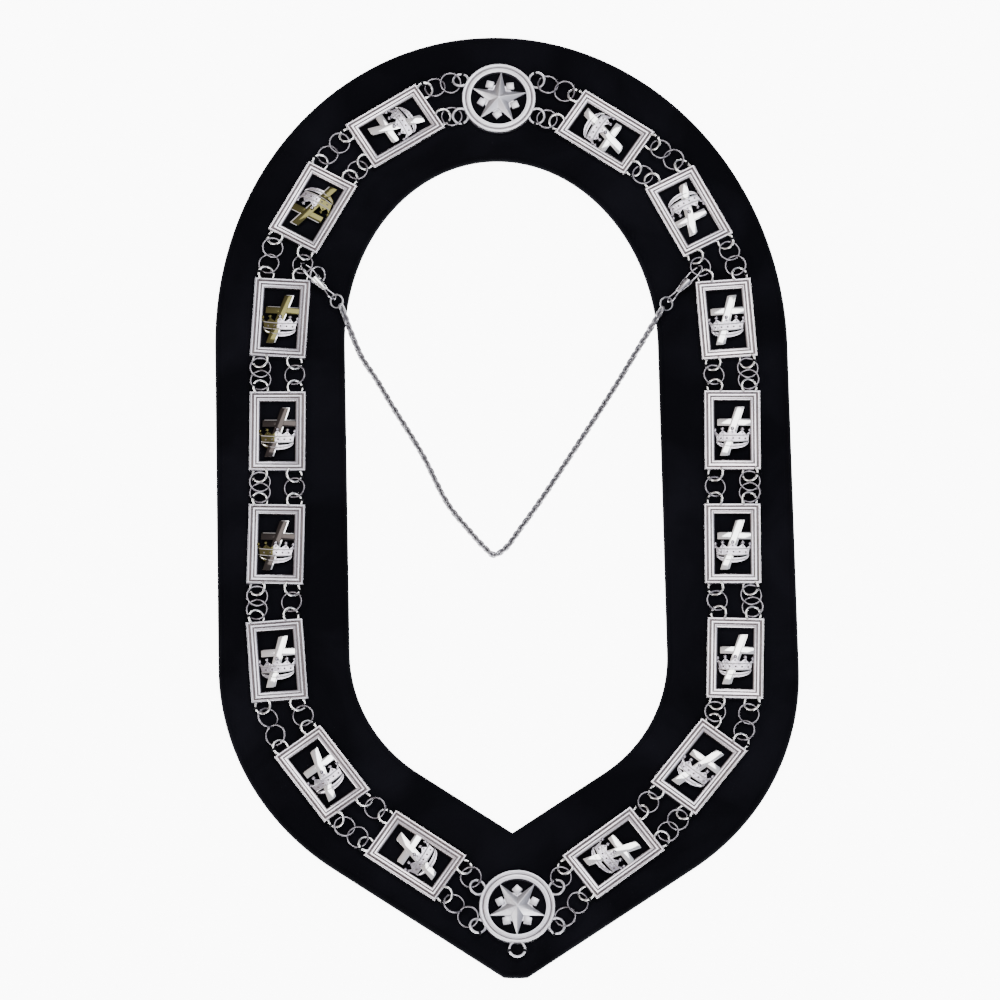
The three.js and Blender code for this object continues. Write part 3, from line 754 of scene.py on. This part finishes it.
def add_bar(bm, low, high, shift):
    verts = bmesh.ops.create_cube(bm, size=1)["verts"]
    low, high = Vector(low), Vector(high)
    for vert in verts:
        share = vert.co + Vector((0.5, 0.5, 0.5))
        vert.co = low + multiply(share, high - low)
        vert.co.x += shift * share.y
    round_edges(bm, list({e for v in verts for e in v.link_edges}), BAR_ROUNDING)


bm = bmesh.new()
for low, high, shift in bars:
    add_bar(bm, low, high, shift)
# Up-facing faces take the CROSS_FACE slot, which on some left plaques holds a painted reflection
for face in bm.faces:
    face.material_index = MIRROR if face.normal.z < FACING_UP else CROSS_FACE
fronts = set(bm.faces)
for low, high, shift in bars:
    high_x = min(high[0], WINDOW_HALF_W - STEP.x)
    add_bar(bm, Vector(low) + STEP, Vector((high_x, *high[1:])) + STEP, shift)
for face in bm.faces:
    if face not in fronts:
        face.material_index = MIRROR
print("cross:", len(bm.faces), "faces")
cross_template = template("cross_template", bm)

# %% Crown template
CROWN_COLUMNS, CROWN_ROWS = 72, 6
CROWN_TOP_HALF, CROWN_LOW_HALF = 10.4, 9.3
CROWN_BACK, CROWN_FRONT = 0.8, 2.5
CROWN_BULGE, BULGE_ANGLE = 1.0, math.pi / 2.2
OUTER_LEAF, LEAF_HEIGHT, LEAF_ROOT, LEAF_POINT = 0.58, 2.5, -3.4, 1.2
LEAF_TIPS = (-1, -OUTER_LEAF, 0, OUTER_LEAF, 1)
BAND_FOOT, BAND_ARCH = -8.2, 0.8
RIM_TOP, RIM_TOP_SAG, RIM_FOOT, RIM_FOOT_SAG, RIM_WIDER = -9.5, 2.9, -12.3, 5.4, 0.5
# On some left plaques the left part of the crown takes a painted reflection of a darker part of the room
CROWN_SHADE_X = -1.5
TIP_BEAD, TIP_BEAD_UP = 1.2, 0.75
LEAF_BEAD, LEAF_BEAD_DOWN = 0.6, 1.5
HOLE_START, HOLE_STEP, HOLE_LEVEL, HOLE_RADIUS, HOLE_FLAT = 0.4, 3.7, -5.6, 0.62, 0.25


def crown_top(u):
    """Height of the crown's leaves at u, from -1 at its left to 1 at its right."""
    out = abs(u)
    share = out / OUTER_LEAF if out < OUTER_LEAF else (out - OUTER_LEAF) / (1 - OUTER_LEAF)
    leaf = LEAF_HEIGHT * abs(2 * share - 1) ** LEAF_POINT
    return LEAF_ROOT + leaf + BAND_ARCH * (1 - u * u)


def band_foot(u):
    return BAND_FOOT + BAND_ARCH * u * u


def rim_sag(u):
    return 1 - math.sqrt(max(0, 1 - u * u))


def rim_top(u):
    return RIM_TOP + RIM_TOP_SAG * rim_sag(u)


def rim_foot(u):
    return RIM_FOOT + RIM_FOOT_SAG * rim_sag(u)


def crown_front(u):
    return CROWN_FRONT + CROWN_BULGE * math.cos(u * BULGE_ANGLE)


def curved_strip(bm, low, high, low_half, high_half):
    """A strip between two curves, bulged towards us and closed behind."""
    old = set(bm.faces)
    made = bmesh.ops.create_grid(bm, x_segments=CROWN_COLUMNS, y_segments=CROWN_ROWS, size=1)
    for vert in made["verts"]:
        u, v = vert.co.x, (vert.co.y + 1) / 2
        half = low_half + (high_half - low_half) * v
        vert.co = (u * half, low(u) + (high(u) - low(u)) * v, crown_front(u))
    grown = bmesh.ops.extrude_face_region(bm, geom=[f for f in bm.faces if f not in old])
    for item in grown["geom"]:
        if isinstance(item, bmesh.types.BMVert):
            item.co.z = CROWN_BACK


def add_bead(bm, x, y, z, radius, flat=0.8):
    place = Matrix.Translation((x, y, z)) @ Matrix.Diagonal((1, 1, flat, 1))
    return bmesh.ops.create_uvsphere(bm, u_segments=10, v_segments=6, radius=radius,
                                     matrix=place)["verts"]


bm = bmesh.new()
curved_strip(bm, band_foot, crown_top, CROWN_LOW_HALF, CROWN_TOP_HALF)
curved_strip(bm, rim_foot, rim_top, CROWN_LOW_HALF + RIM_WIDER, CROWN_LOW_HALF + RIM_WIDER)
for u in LEAF_TIPS:
    x, top = u * CROWN_TOP_HALF, crown_top(u)
    add_bead(bm, x, top + TIP_BEAD_UP, crown_front(u), TIP_BEAD)
    add_bead(bm, x, top - LEAF_BEAD_DOWN, crown_front(u), LEAF_BEAD)
bmesh.ops.recalc_face_normals(bm, faces=bm.faces)
# Faces left of CROWN_SHADE_X take the CROWN_LEFT slot, which on some left plaques holds a painted
# reflection
for face in bm.faces:
    face.material_index = CROWN_LEFT if face.calc_center_median().x < CROWN_SHADE_X else CROWN
for count in (-2, -1, 0, 1, 2):
    x = HOLE_START + count * HOLE_STEP
    hole = add_bead(bm, x, HOLE_LEVEL, crown_front(x / CROWN_TOP_HALF), HOLE_RADIUS, HOLE_FLAT)
    for face in {f for v in hole for f in v.link_faces}:
        face.material_index = GROOVE
print("crown:", len(bm.faces), "faces")
crown_template = template("crown_template", bm)

# %% Hoops of the crown
HOOP_WIRE, HOOP_STEPS = 0.7, 26
FOOT_HOOP_UP, BAND_HOOP_UP, BAND_HOOP_WIDER = 0.3, 4.3, 0.6


def crown_hoop(bm, y_at, half, lift):
    """A round wire along the crown's front at some height."""
    section = bmesh.ops.create_circle(bm, segments=8, radius=HOOP_WIRE / 2)["verts"]
    rotate_mesh(bm, math.pi / 2, "Y", section)
    bmesh.ops.translate(bm, verts=section, vec=(-half, y_at(-1), crown_front(-1) + lift))
    last = list({e for v in section for e in v.link_edges})
    for step in range(1, HOOP_STEPS + 1):
        u0, u1 = (step - 1) / HOOP_STEPS * 2 - 1, step / HOOP_STEPS * 2 - 1
        grown = bmesh.ops.extrude_edge_only(bm, edges=last)["geom"]
        moved = [g for g in grown if isinstance(g, bmesh.types.BMVert)]
        last = [g for g in grown if isinstance(g, bmesh.types.BMEdge)]
        shift = Vector(((u1 - u0) * half, y_at(u1) - y_at(u0), crown_front(u1) - crown_front(u0)))
        bmesh.ops.translate(bm, verts=moved, vec=shift)
    bmesh.ops.holes_fill(bm, edges=[e for e in bm.edges if e.is_boundary])


bm = bmesh.new()
crown_hoop(bm, lambda u: band_foot(u) + FOOT_HOOP_UP, CROWN_LOW_HALF, 0.1)
crown_hoop(bm, lambda u: band_foot(u) + BAND_HOOP_UP, CROWN_LOW_HALF + BAND_HOOP_WIDER, 0.05)
crown_hoop(bm, lambda u: (rim_top(u) + rim_foot(u)) / 2, CROWN_LOW_HALF + RIM_WIDER, 0.1)
bmesh.ops.recalc_face_normals(bm, faces=bm.faces)
print("hoops:", len(bm.faces), "faces")
hoop_template = template("hoop_template", bm)

# %% [markdown]
# ## Medallions
# A medallion is a turned rim with a groove, and in it a five-pointed star whose arms rise to
# ridges, with a small square stud between each two arms and a low web between the arms that
# carries the studs. The rim is a spun section. The star starts as a ten-sided cone whose rim
# is pulled out at every second corner.

# %% Medallion templates
RIM_SECTION = [
    (0.0, 0.0), (0.0, 2.8), (0.35, 3.25), (0.6, 3.3), (1.7, 3.3), (1.95, 3.15), (2.2, 2.6),
    (2.55, 2.6), (2.8, 3.05), (3.05, 3.15), (3.9, 3.15), (4.1, 2.95), (4.35, 2.95), (4.5, 3.1),
    (5.2, 3.05), (5.4, 2.8), (5.4, 0.0),
]
STAR_POINTS, STAR_WAIST, STAR_RISE = 5, 6.5, 1.6
STAR_LOW, ROOF_DROP, STAR_ROUNDING = 0.3, 1.1, 0.16
GEM_SIDE, GEM_CENTRE, GEM_ROUNDING = 4.7, 10.6, 0.4
GEM_HEIGHT = PLAQUE_THICK - 1.0
WEB_RADIUS, WEB_THICK, WEB_LOW = 9.2, 1.1, 0.4

bm = spun_section([(MEDALLION_RADIUS - inset, height) for inset, height in RIM_SECTION], 96)
darken_grooves(bm, RIM_GROOVE_LOW)
rim_template = template("rim_template", bm)

bm = bmesh.new()
wall_top = STAR_LOW + PLAQUE_THICK - STAR_RISE
tip_radius = MEDALLION_RADIUS - MEDALLION_RIM + WALL_BITE
bmesh.ops.create_cone(bm, cap_ends=True, segments=STAR_POINTS * 2, radius1=1, radius2=0,
                      depth=STAR_RISE + ROOF_DROP)
for vert in bm.verts:
    if vert.co.xy.length > 0.5:
        turn = math.atan2(vert.co.y, vert.co.x) + 1.5 * math.pi
        corner = round(turn * STAR_POINTS / math.pi) % (STAR_POINTS * 2)
        radius = tip_radius if corner % 2 == 0 else STAR_WAIST
        angle = math.pi / 2 + corner * math.pi / STAR_POINTS
        vert.co = (math.cos(angle) * radius, math.sin(angle) * radius, wall_top)
    else:
        vert.co = (0, 0, wall_top + STAR_RISE + ROOF_DROP)
bottom = [f for f in bm.faces if f.normal.z < -0.9]
down = bmesh.ops.extrude_face_region(bm, geom=bottom)
for item in down["geom"]:
    if isinstance(item, bmesh.types.BMVert):
        item.co.z = STAR_LOW
bmesh.ops.delete(bm, geom=[f for f in bottom if f.is_valid], context="FACES_ONLY")
bmesh.ops.remove_doubles(bm, verts=bm.verts, dist=1e-3)
bmesh.ops.recalc_face_normals(bm, faces=bm.faces)
round_edges(bm, bm.edges[:], STAR_ROUNDING)
star_template = template("star_template", bm)

bm = bmesh.new()
bmesh.ops.create_cube(bm, size=1)
bmesh.ops.scale(bm, verts=bm.verts, vec=(GEM_SIDE, GEM_SIDE, GEM_HEIGHT))
round_edges(bm, bm.edges[:], GEM_ROUNDING)
rotate_mesh(bm, math.pi / 4, "Z")
bmesh.ops.translate(bm, verts=bm.verts, vec=(0, GEM_CENTRE, STAR_LOW + GEM_HEIGHT / 2))
gem_template = template("gem_template", bm)

bm = bmesh.new()
bmesh.ops.create_cone(bm, cap_ends=True, segments=STAR_POINTS * 2, radius1=WEB_RADIUS,
                      radius2=WEB_RADIUS, depth=WEB_THICK,
                      matrix=Matrix.Translation((0, 0, WEB_LOW + WEB_THICK / 2)))
rotate_mesh(bm, math.pi / 2, "Z")
web_template = template("web_template", bm)
print("rim, star and stud faces:", len(rim_template.polygons), len(star_template.polygons),
      len(gem_template.polygons))

# %% [markdown]
# ## Lugs and the castings
# A lug is an open loop of round wire whose ends run into the casting. Each is turned a little
# about the line of its joint, as in the CAD, so the wires pass each other. Frame, cross,
# crown and lugs are stamped into one piece, because on the real plaque they are soldered.

# %% Castings
def lug_template(reach):
    sink = math.acos(min(1, reach / LUG_RADIUS)) * LUG_SINK
    bm = wire_arc(LUG_RADIUS, LUG_WIRE, 30, 12, start=-math.pi + sink, angle=FULL_TURN - 2 * sink)
    return template(f"lug_template_{reach}", bm)


lug_templates = {reach: lug_template(reach) for reach in (LUG_REACH, MEDALLION_LUG_OFFSET)}


def lug_place(lug):
    return (Matrix.Translation((lug["x"], lug["y"], LUG_PLANE - PLAQUE_BASE))
            @ Matrix.Rotation(lug["axis"], 4, "Z") @ Matrix.Rotation(lug["tilt"], 4, "X")
            @ Matrix.Rotation(lug["heading"] - lug["axis"], 4, "Z"))


def casting_place(casting):
    return (Matrix.Translation((*casting["at"], PLAQUE_BASE))
            @ Matrix.Rotation(casting["turn"], 4, "Z"))


# Frame and cross colours for the plaques that mirror a darker part of the room: the greyer satin is
# painted shade on their frames, and the olive and dusk colours are painted reflection on their crosses
PAINTED_REFLECTION_PLAQUES = {
    "plaque_left_2": (satin_silver, painted_reflection_olive), "plaque_left_3": (satin_painted_shade, painted_reflection_olive),
    "plaque_left_4": (satin_painted_shade, painted_reflection_dusk), "plaque_left_5": (satin_painted_shade, painted_reflection_dusk),
    "plaque_left_6": (satin_painted_shade, mirror_silver),
}


def dress_casting(casting):
    bm = bmesh.new()
    if casting["kind"] == "plaque":
        own = Matrix.Rotation(math.pi if casting["reversed"] else 0, 4, "Z")
        stamp(bm, frame_template)
        stamp(bm, cross_template, own)
        stamp(bm, crown_template, own)
        stamp(bm, hoop_template, own, MIRROR)
        # Plaques down the left side take painted shade on the frame and painted reflection on the cross
        frame_metal, cross_face = PAINTED_REFLECTION_PLAQUES.get(casting["name"], (satin_silver, mirror_silver))
        # Where the cross has a painted reflection, the left of the crown takes the olive painted
        # reflection too
        crown_left = crown_silver if cross_face is mirror_silver else painted_reflection_olive
        lug_finish = MIRROR
        materials = [frame_metal, groove_silver, mirror_silver, crown_silver, cross_face, crown_left]
    else:
        own = Matrix.Rotation(casting["star_turn"], 4, "Z")
        stamp(bm, rim_template)
        stamp(bm, star_template, own, SATIN)
        stamp(bm, web_template, own, SATIN)
        for index in range(STAR_POINTS):
            between = Matrix.Rotation((index + 0.5) * FULL_TURN / STAR_POINTS, 4, "Z")
            stamp(bm, gem_template, own @ between, SATIN)
        lug_finish = SATIN
        materials = [frosted_silver, groove_silver]
    for lug in casting["lugs"]:
        stamp(bm, lug_templates[lug["reach"]], lug_place(lug), lug_finish)
    bmesh.ops.transform(bm, matrix=casting_place(casting), verts=bm.verts)
    name = casting["name"]
    return finish_piece(bm, f"{name}_casting", materials, name)


all_castings = [medallion_top, *plaques["left"], *plaques["right"], medallion_bottom]
for casting in all_castings:
    dress_casting(casting)
print("castings dressed:", len(all_castings))

# %% [markdown]
# ## Jump rings
# A jump ring is plain round wire, so one spun template serves them all.

# %% Jump rings
ring_template = template("ring_template", wire_arc(RING_RADIUS, RING_WIRE, 44, 12))
for node, places in ring_places.items():
    bm = bmesh.new()
    for place in places:
        stamp(bm, ring_template, place)
    finish_piece(bm, f"{node}_wire", [ring_wire], node)
print("ring pieces:", len(ring_places))

# %% [markdown]
# ## Clasps
# Each snap clasp has a round tapered casing, a wire hook on one side, a sprung wire lever on
# the other that shuts against the hook's nose, and a wire loop behind. The left casing is the
# brighter one. The levers are pieces of their own, because they swing inwards. Wire that is
# bent freely is easiest as a curve with a round bevel, turned into a mesh.

# %% Wire along a route
def smooth_route(points, per_span):
    """Centripetal Catmull-Rom through the points, as the CAD uses."""
    points = [Vector(p) for p in points]
    points = [points[0] * 2 - points[1], *points, points[-1] * 2 - points[-2]]
    route = []
    for p0, p1, p2, p3 in zip(points, points[1:], points[2:], points[3:]):
        t0 = 0.0
        t1 = t0 + (p1 - p0).length ** 0.5
        t2 = t1 + (p2 - p1).length ** 0.5
        t3 = t2 + (p3 - p2).length ** 0.5
        for step in range(per_span):
            t = t1 + (t2 - t1) * step / per_span
            a1 = p0.lerp(p1, (t - t0) / (t1 - t0))
            a2 = p1.lerp(p2, (t - t1) / (t2 - t1))
            a3 = p2.lerp(p3, (t - t2) / (t3 - t2))
            b1 = a1.lerp(a2, (t - t0) / (t2 - t0))
            b2 = a2.lerp(a3, (t - t1) / (t3 - t1))
            route.append(b1.lerp(b2, (t - t1) / (t2 - t1)))
    route.append(points[-2])
    return route


def bent_wire(name, points, wire, per_span=6, rounding=3):
    curve = bpy.data.curves.new(name, "CURVE")
    curve.dimensions = "3D"
    curve.bevel_depth = wire / 2
    curve.bevel_resolution = rounding
    curve.use_fill_caps = True
    route = smooth_route(points, per_span)
    spline = curve.splines.new("POLY")
    spline.points.add(len(route) - 1)
    for point, place in zip(spline.points, route):
        point.co = (*place, 1)
    holder = bpy.data.objects.new(name, curve)
    mesh = bpy.data.meshes.new_from_object(holder)
    bpy.data.objects.remove(holder)
    bpy.data.curves.remove(curve)
    bm = bmesh.new()
    bm.from_mesh(mesh)
    bpy.data.meshes.remove(mesh)
    return template(name, bm)


CASING_LENGTH, CASING_FRONT, CASING_REAR = 10, 7.2, 3.8
CASING_FULL, CASING_FLAT, CASING_ROUNDING = 7.6, 0.8, 0.5
RIVET_RADIUS, RIVET_BACK = 0.75, 2.6
CLASP_WIRE, HOOK_REACH, TAIL_LENGTH, TAIL_RADIUS = 1.1, 12.5, 8.4, 2.5
LEVER_ROOT = 2.2
CLASPS = {
    "left": {"nose": (-0.5, 0), "heading": 130.5, "roll": 40, "hand": -1},
    "right": {"nose": (0.5, 0), "heading": 49.5, "roll": -40, "hand": 1},
}
CLASP_PITCH, CLASP_RISE, CLASP_GAP_INDEX = 2, 0.9, 2


def clasp_frame(side):
    facts = CLASPS[side]
    hold = single_centres[side, CLASP_GAP_INDEX] + Vector(facts["nose"])
    return (Matrix.Translation((hold.x, hold.y, LUG_PLANE + CLASP_RISE))
            @ Matrix.Rotation(math.radians(facts["heading"]), 4, "Z")
            @ Matrix.Rotation(math.radians(CLASP_PITCH), 4, "Y")
            @ Matrix.Rotation(math.radians(facts["roll"]), 4, "X")
            @ Matrix.Translation((-HOOK_REACH, 0, 0)))


clasp_frames = {side: clasp_frame(side) for side in CLASPS}
print("clasp noses:", [[round(v, 1) for v in single_centres[s, CLASP_GAP_INDEX]] for s in CLASPS])

# %% Clasp bodies and levers
def casing_template():
    """A round tapered shell, a little flattened, with a rivet through its wide end."""
    bm = bmesh.new()
    lie_down = Matrix.Diagonal((1, 1, CASING_FLAT, 1)) @ Matrix.Rotation(math.pi / 2, 4, "Y")
    bmesh.ops.create_cone(bm, cap_ends=True, segments=24, radius1=CASING_REAR / 2,
                          radius2=CASING_FULL / 2, depth=CASING_LENGTH)
    end_edges = [e for e in bm.edges if abs(e.verts[0].co.z - e.verts[1].co.z) < 1]
    round_edges(bm, end_edges, CASING_ROUNDING, segments=3)
    bmesh.ops.transform(bm, matrix=Matrix.Translation((-CASING_LENGTH / 2, 0, 0)) @ lie_down,
                        verts=bm.verts)
    bmesh.ops.create_cone(bm, cap_ends=True, segments=16, radius1=RIVET_RADIUS,
                          radius2=RIVET_RADIUS, depth=CASING_FULL * CASING_FLAT,
                          matrix=Matrix.Translation((-RIVET_BACK, 0, 0)))
    return template("casing_template", bm)


def flat_points(pairs):
    return [(x, y, 0) for x, y in pairs]


def hook_points(hand):
    side = -hand * CASING_FRONT / 2
    return flat_points([
        (-0.12 * HOOK_REACH, side * 0.72), (0.2 * HOOK_REACH, side * 0.98),
        (0.56 * HOOK_REACH, side), (0.86 * HOOK_REACH, side * 0.68), (HOOK_REACH, 0),
        (0.95 * HOOK_REACH, -side * 0.5)])


def tail_points():
    rear = -CASING_LENGTH
    end = rear - TAIL_LENGTH
    return flat_points([
        (rear + CLASP_WIRE, TAIL_RADIUS * 0.4), (rear - TAIL_RADIUS, TAIL_RADIUS * 0.7),
        (end + TAIL_RADIUS, TAIL_RADIUS), (end, 0), (end + TAIL_RADIUS, -TAIL_RADIUS),
        (rear - TAIL_RADIUS, -TAIL_RADIUS * 0.7), (rear + CLASP_WIRE, -TAIL_RADIUS * 0.4)])


def lever_points(hand):
    side = hand * CASING_FRONT / 2
    return flat_points([
        (-LEVER_ROOT, side * 0.78), (0.2 * HOOK_REACH, side * 0.98),
        (0.56 * HOOK_REACH, side), (0.85 * HOOK_REACH, side * 0.62)])


HUNG_RING_RADIUS = 5
HUNG_RING = {"offset": (9.2, -7.5), "heading": 60, "roll": 35, "rise": 1.2}
for side, facts in CLASPS.items():
    hand, place = facts["hand"], clasp_frames[side]
    bm = bmesh.new()
    stamp(bm, casing_template(), place, 1)
    stamp(bm, bent_wire("hook", hook_points(hand), CLASP_WIRE), place)
    stamp(bm, bent_wire("tail", tail_points(), CLASP_WIRE), place)
    if side == "left":
        hung = template("hung_ring", wire_arc(HUNG_RING_RADIUS, RING_WIRE, 40, 12))
        centre = single_centres[side, CLASP_GAP_INDEX] + Vector(HUNG_RING["offset"])
        stamp(bm, hung, ring_place(centre, math.radians(HUNG_RING["heading"]),
                                   math.radians(HUNG_RING["roll"]), LUG_PLANE + HUNG_RING["rise"]))
    casing_metal = mirror_silver if side == "left" else grey_wire
    finish_piece(bm, f"clasp_{side}_body", [grey_wire, casing_metal],
                 f"clasp_{side}")
    bm = bmesh.new()
    stamp(bm, bent_wire("lever", lever_points(hand), CLASP_WIRE), place)
    finish_piece(bm, f"clasp_{side}_lever_wire", [grey_wire],
                 f"clasp_lever_{side}", f"{side}_lever")
print("clasps dressed:", len(CLASPS))

# %% [markdown]
# ## Safety chain
# The chain is made of oval wire links, each linked through the last and turned the other way,
# so it looks like a fine twisted cord of metal. It lies along the same route as the CAD tube.
# The links are stamped one by one at even steps along that route.

# %% Chain route
CHAIN_ROUTE = [
    (-90.5, 103, 5.2), (-86.4, 94, 3.2), (-77.4, 80, 1.9), (-68.4, 64.1, 1.8), (-49.8, 32.2, 1.8),
    (-34.2, 0.3, 1.8), (-22.2, -15.6, 1.8), (-12, -27.5, 1.8), (-6.6, -31.9, 1.8), (0, -28, 1.8),
    (9, -15.6, 1.8), (19.8, 0.3, 1.8), (30, 16.3, 1.8), (49.8, 48.2, 1.8), (69, 80, 1.8),
    (77, 94, 2.2), (83, 104, 3.6),
]
END_RING_RADIUS, END_RING_WIRE, END_RING_HOLD, END_RING_ROLL = 4, 1, 2.2, 30
hold_x = -CASING_LENGTH - TAIL_LENGTH - END_RING_RADIUS + END_RING_HOLD
end_ring_places, chain_ends = {}, {}
for side, place in clasp_frames.items():
    centre = place @ Vector((hold_x, 0, 0))
    tail = place @ Vector((hold_x - END_RING_RADIUS, 0, 0))
    roll = math.copysign(math.radians(END_RING_ROLL), CLASPS[side]["roll"])
    end_ring_places[side] = ring_place(centre, heading_of(tail - centre), roll, centre.z)
    chain_ends[side] = tail
route = smooth_route([chain_ends["left"], *CHAIN_ROUTE, chain_ends["right"]], 24)
route_length = sum((b - a).length for a, b in zip(route, route[1:]))
print("safety chain length:", round(route_length, 1), "mm")

# %% Chain links
LINK_LENGTH, LINK_WIDTH, LINK_WIRE, LINK_SLACK = 5.6, 4.3, 1.5, 0.1
LINK_TWIST, TWIST_WANDER = math.radians(40), 0.12
links_count = round(route_length / (LINK_LENGTH - 2 * LINK_WIRE - LINK_SLACK))

bm = wire_arc((LINK_WIDTH - LINK_WIRE) / 2, LINK_WIRE, 20, 8)
for vert in bm.verts:
    vert.co.x += math.copysign((LINK_LENGTH - LINK_WIDTH) / 2, vert.co.x)
link_template = template("link_template", bm)


def walk(route, distances):
    """Places and directions at even distances along the route."""
    steps = [b - a for a, b in zip(route, route[1:])]
    spots, travelled, span = [], 0.0, 0
    for distance in distances:
        while span < len(steps) - 1 and travelled + steps[span].length < distance:
            travelled += steps[span].length
            span += 1
        ahead = steps[span].normalized()
        spots.append((route[span] + ahead * (distance - travelled), ahead))
    return spots


step = route_length / links_count
spots = walk(route, [step * (i + 0.5) for i in range(links_count)])
bm = bmesh.new()
for index, (spot, direction) in enumerate(spots):
    side_way = Vector((0, 0, 1)).cross(direction).normalized()
    up = direction.cross(side_way)
    frame_turn = Matrix((direction, side_way, up)).transposed().to_4x4()
    twist = LINK_TWIST if index % 2 else -LINK_TWIST
    twist += TWIST_WANDER * math.sin(index * 1.7)
    stamp(bm, link_template, Matrix.Translation(spot) @ frame_turn @ Matrix.Rotation(twist, 4, "X"))
end_ring = template("end_ring", wire_arc(END_RING_RADIUS, END_RING_WIRE, 36, 12))
for place in end_ring_places.values():
    stamp(bm, end_ring, place)
print("chain links:", links_count, "faces:", len(bm.faces))
finish_piece(bm, "safety_chain_links", [chain_wire], "safety_chain")

# %% [markdown]
# ## Stitches
# Black thread sews every lug down to the velvet. Each stitch is a few turns of thread over
# the lug's wire and down into the cloth: flattened loops, side by side.

# %% Stitches
THREAD, STITCH_TURNS, STITCH_STEP = 0.5, 3, 0.5
STITCH_WIDE, STITCH_TALL, STITCH_PROUD = 1.05, 1.85, 0.05
STITCH_ANGLE = math.radians(78)

bm = wire_arc(1.0, THREAD, 18, 6)
rotate_mesh(bm, math.pi / 2, "Y")
bmesh.ops.scale(bm, verts=bm.verts, vec=(1, STITCH_WIDE, STITCH_TALL))
bmesh.ops.translate(bm, verts=bm.verts, vec=(0, 0, -STITCH_TALL + STITCH_WIDE + STITCH_PROUD))
stitch_template = template("stitch_template", bm)

bm = bmesh.new()
stitches = 0
for casting in all_castings:
    for lug in casting["lugs"]:
        corner_sides = (1, -1) if lug["strand"] == "drop" else (lug["corner"],)
        for corner in corner_sides:
            angle = -corner * STITCH_ANGLE
            on_wire = Vector((math.cos(angle) * LUG_RADIUS, math.sin(angle) * LUG_RADIUS, 0))
            along = Vector((-math.sin(angle), math.cos(angle), 0))
            for turn in range(STITCH_TURNS):
                offset = (turn - (STITCH_TURNS - 1) / 2) * STITCH_STEP
                spot = casting_place(casting) @ lug_place(lug) @ (on_wire + along * offset)
                heading = casting["turn"] + lug["heading"] + angle + math.pi / 2
                stamp(bm, stitch_template, Matrix.Translation(spot) @ Matrix.Rotation(heading, 4, "Z"))
            stitches += 1
print("stitches:", stitches)
finish_piece(bm, "lug_stitches", [black_thread], None)
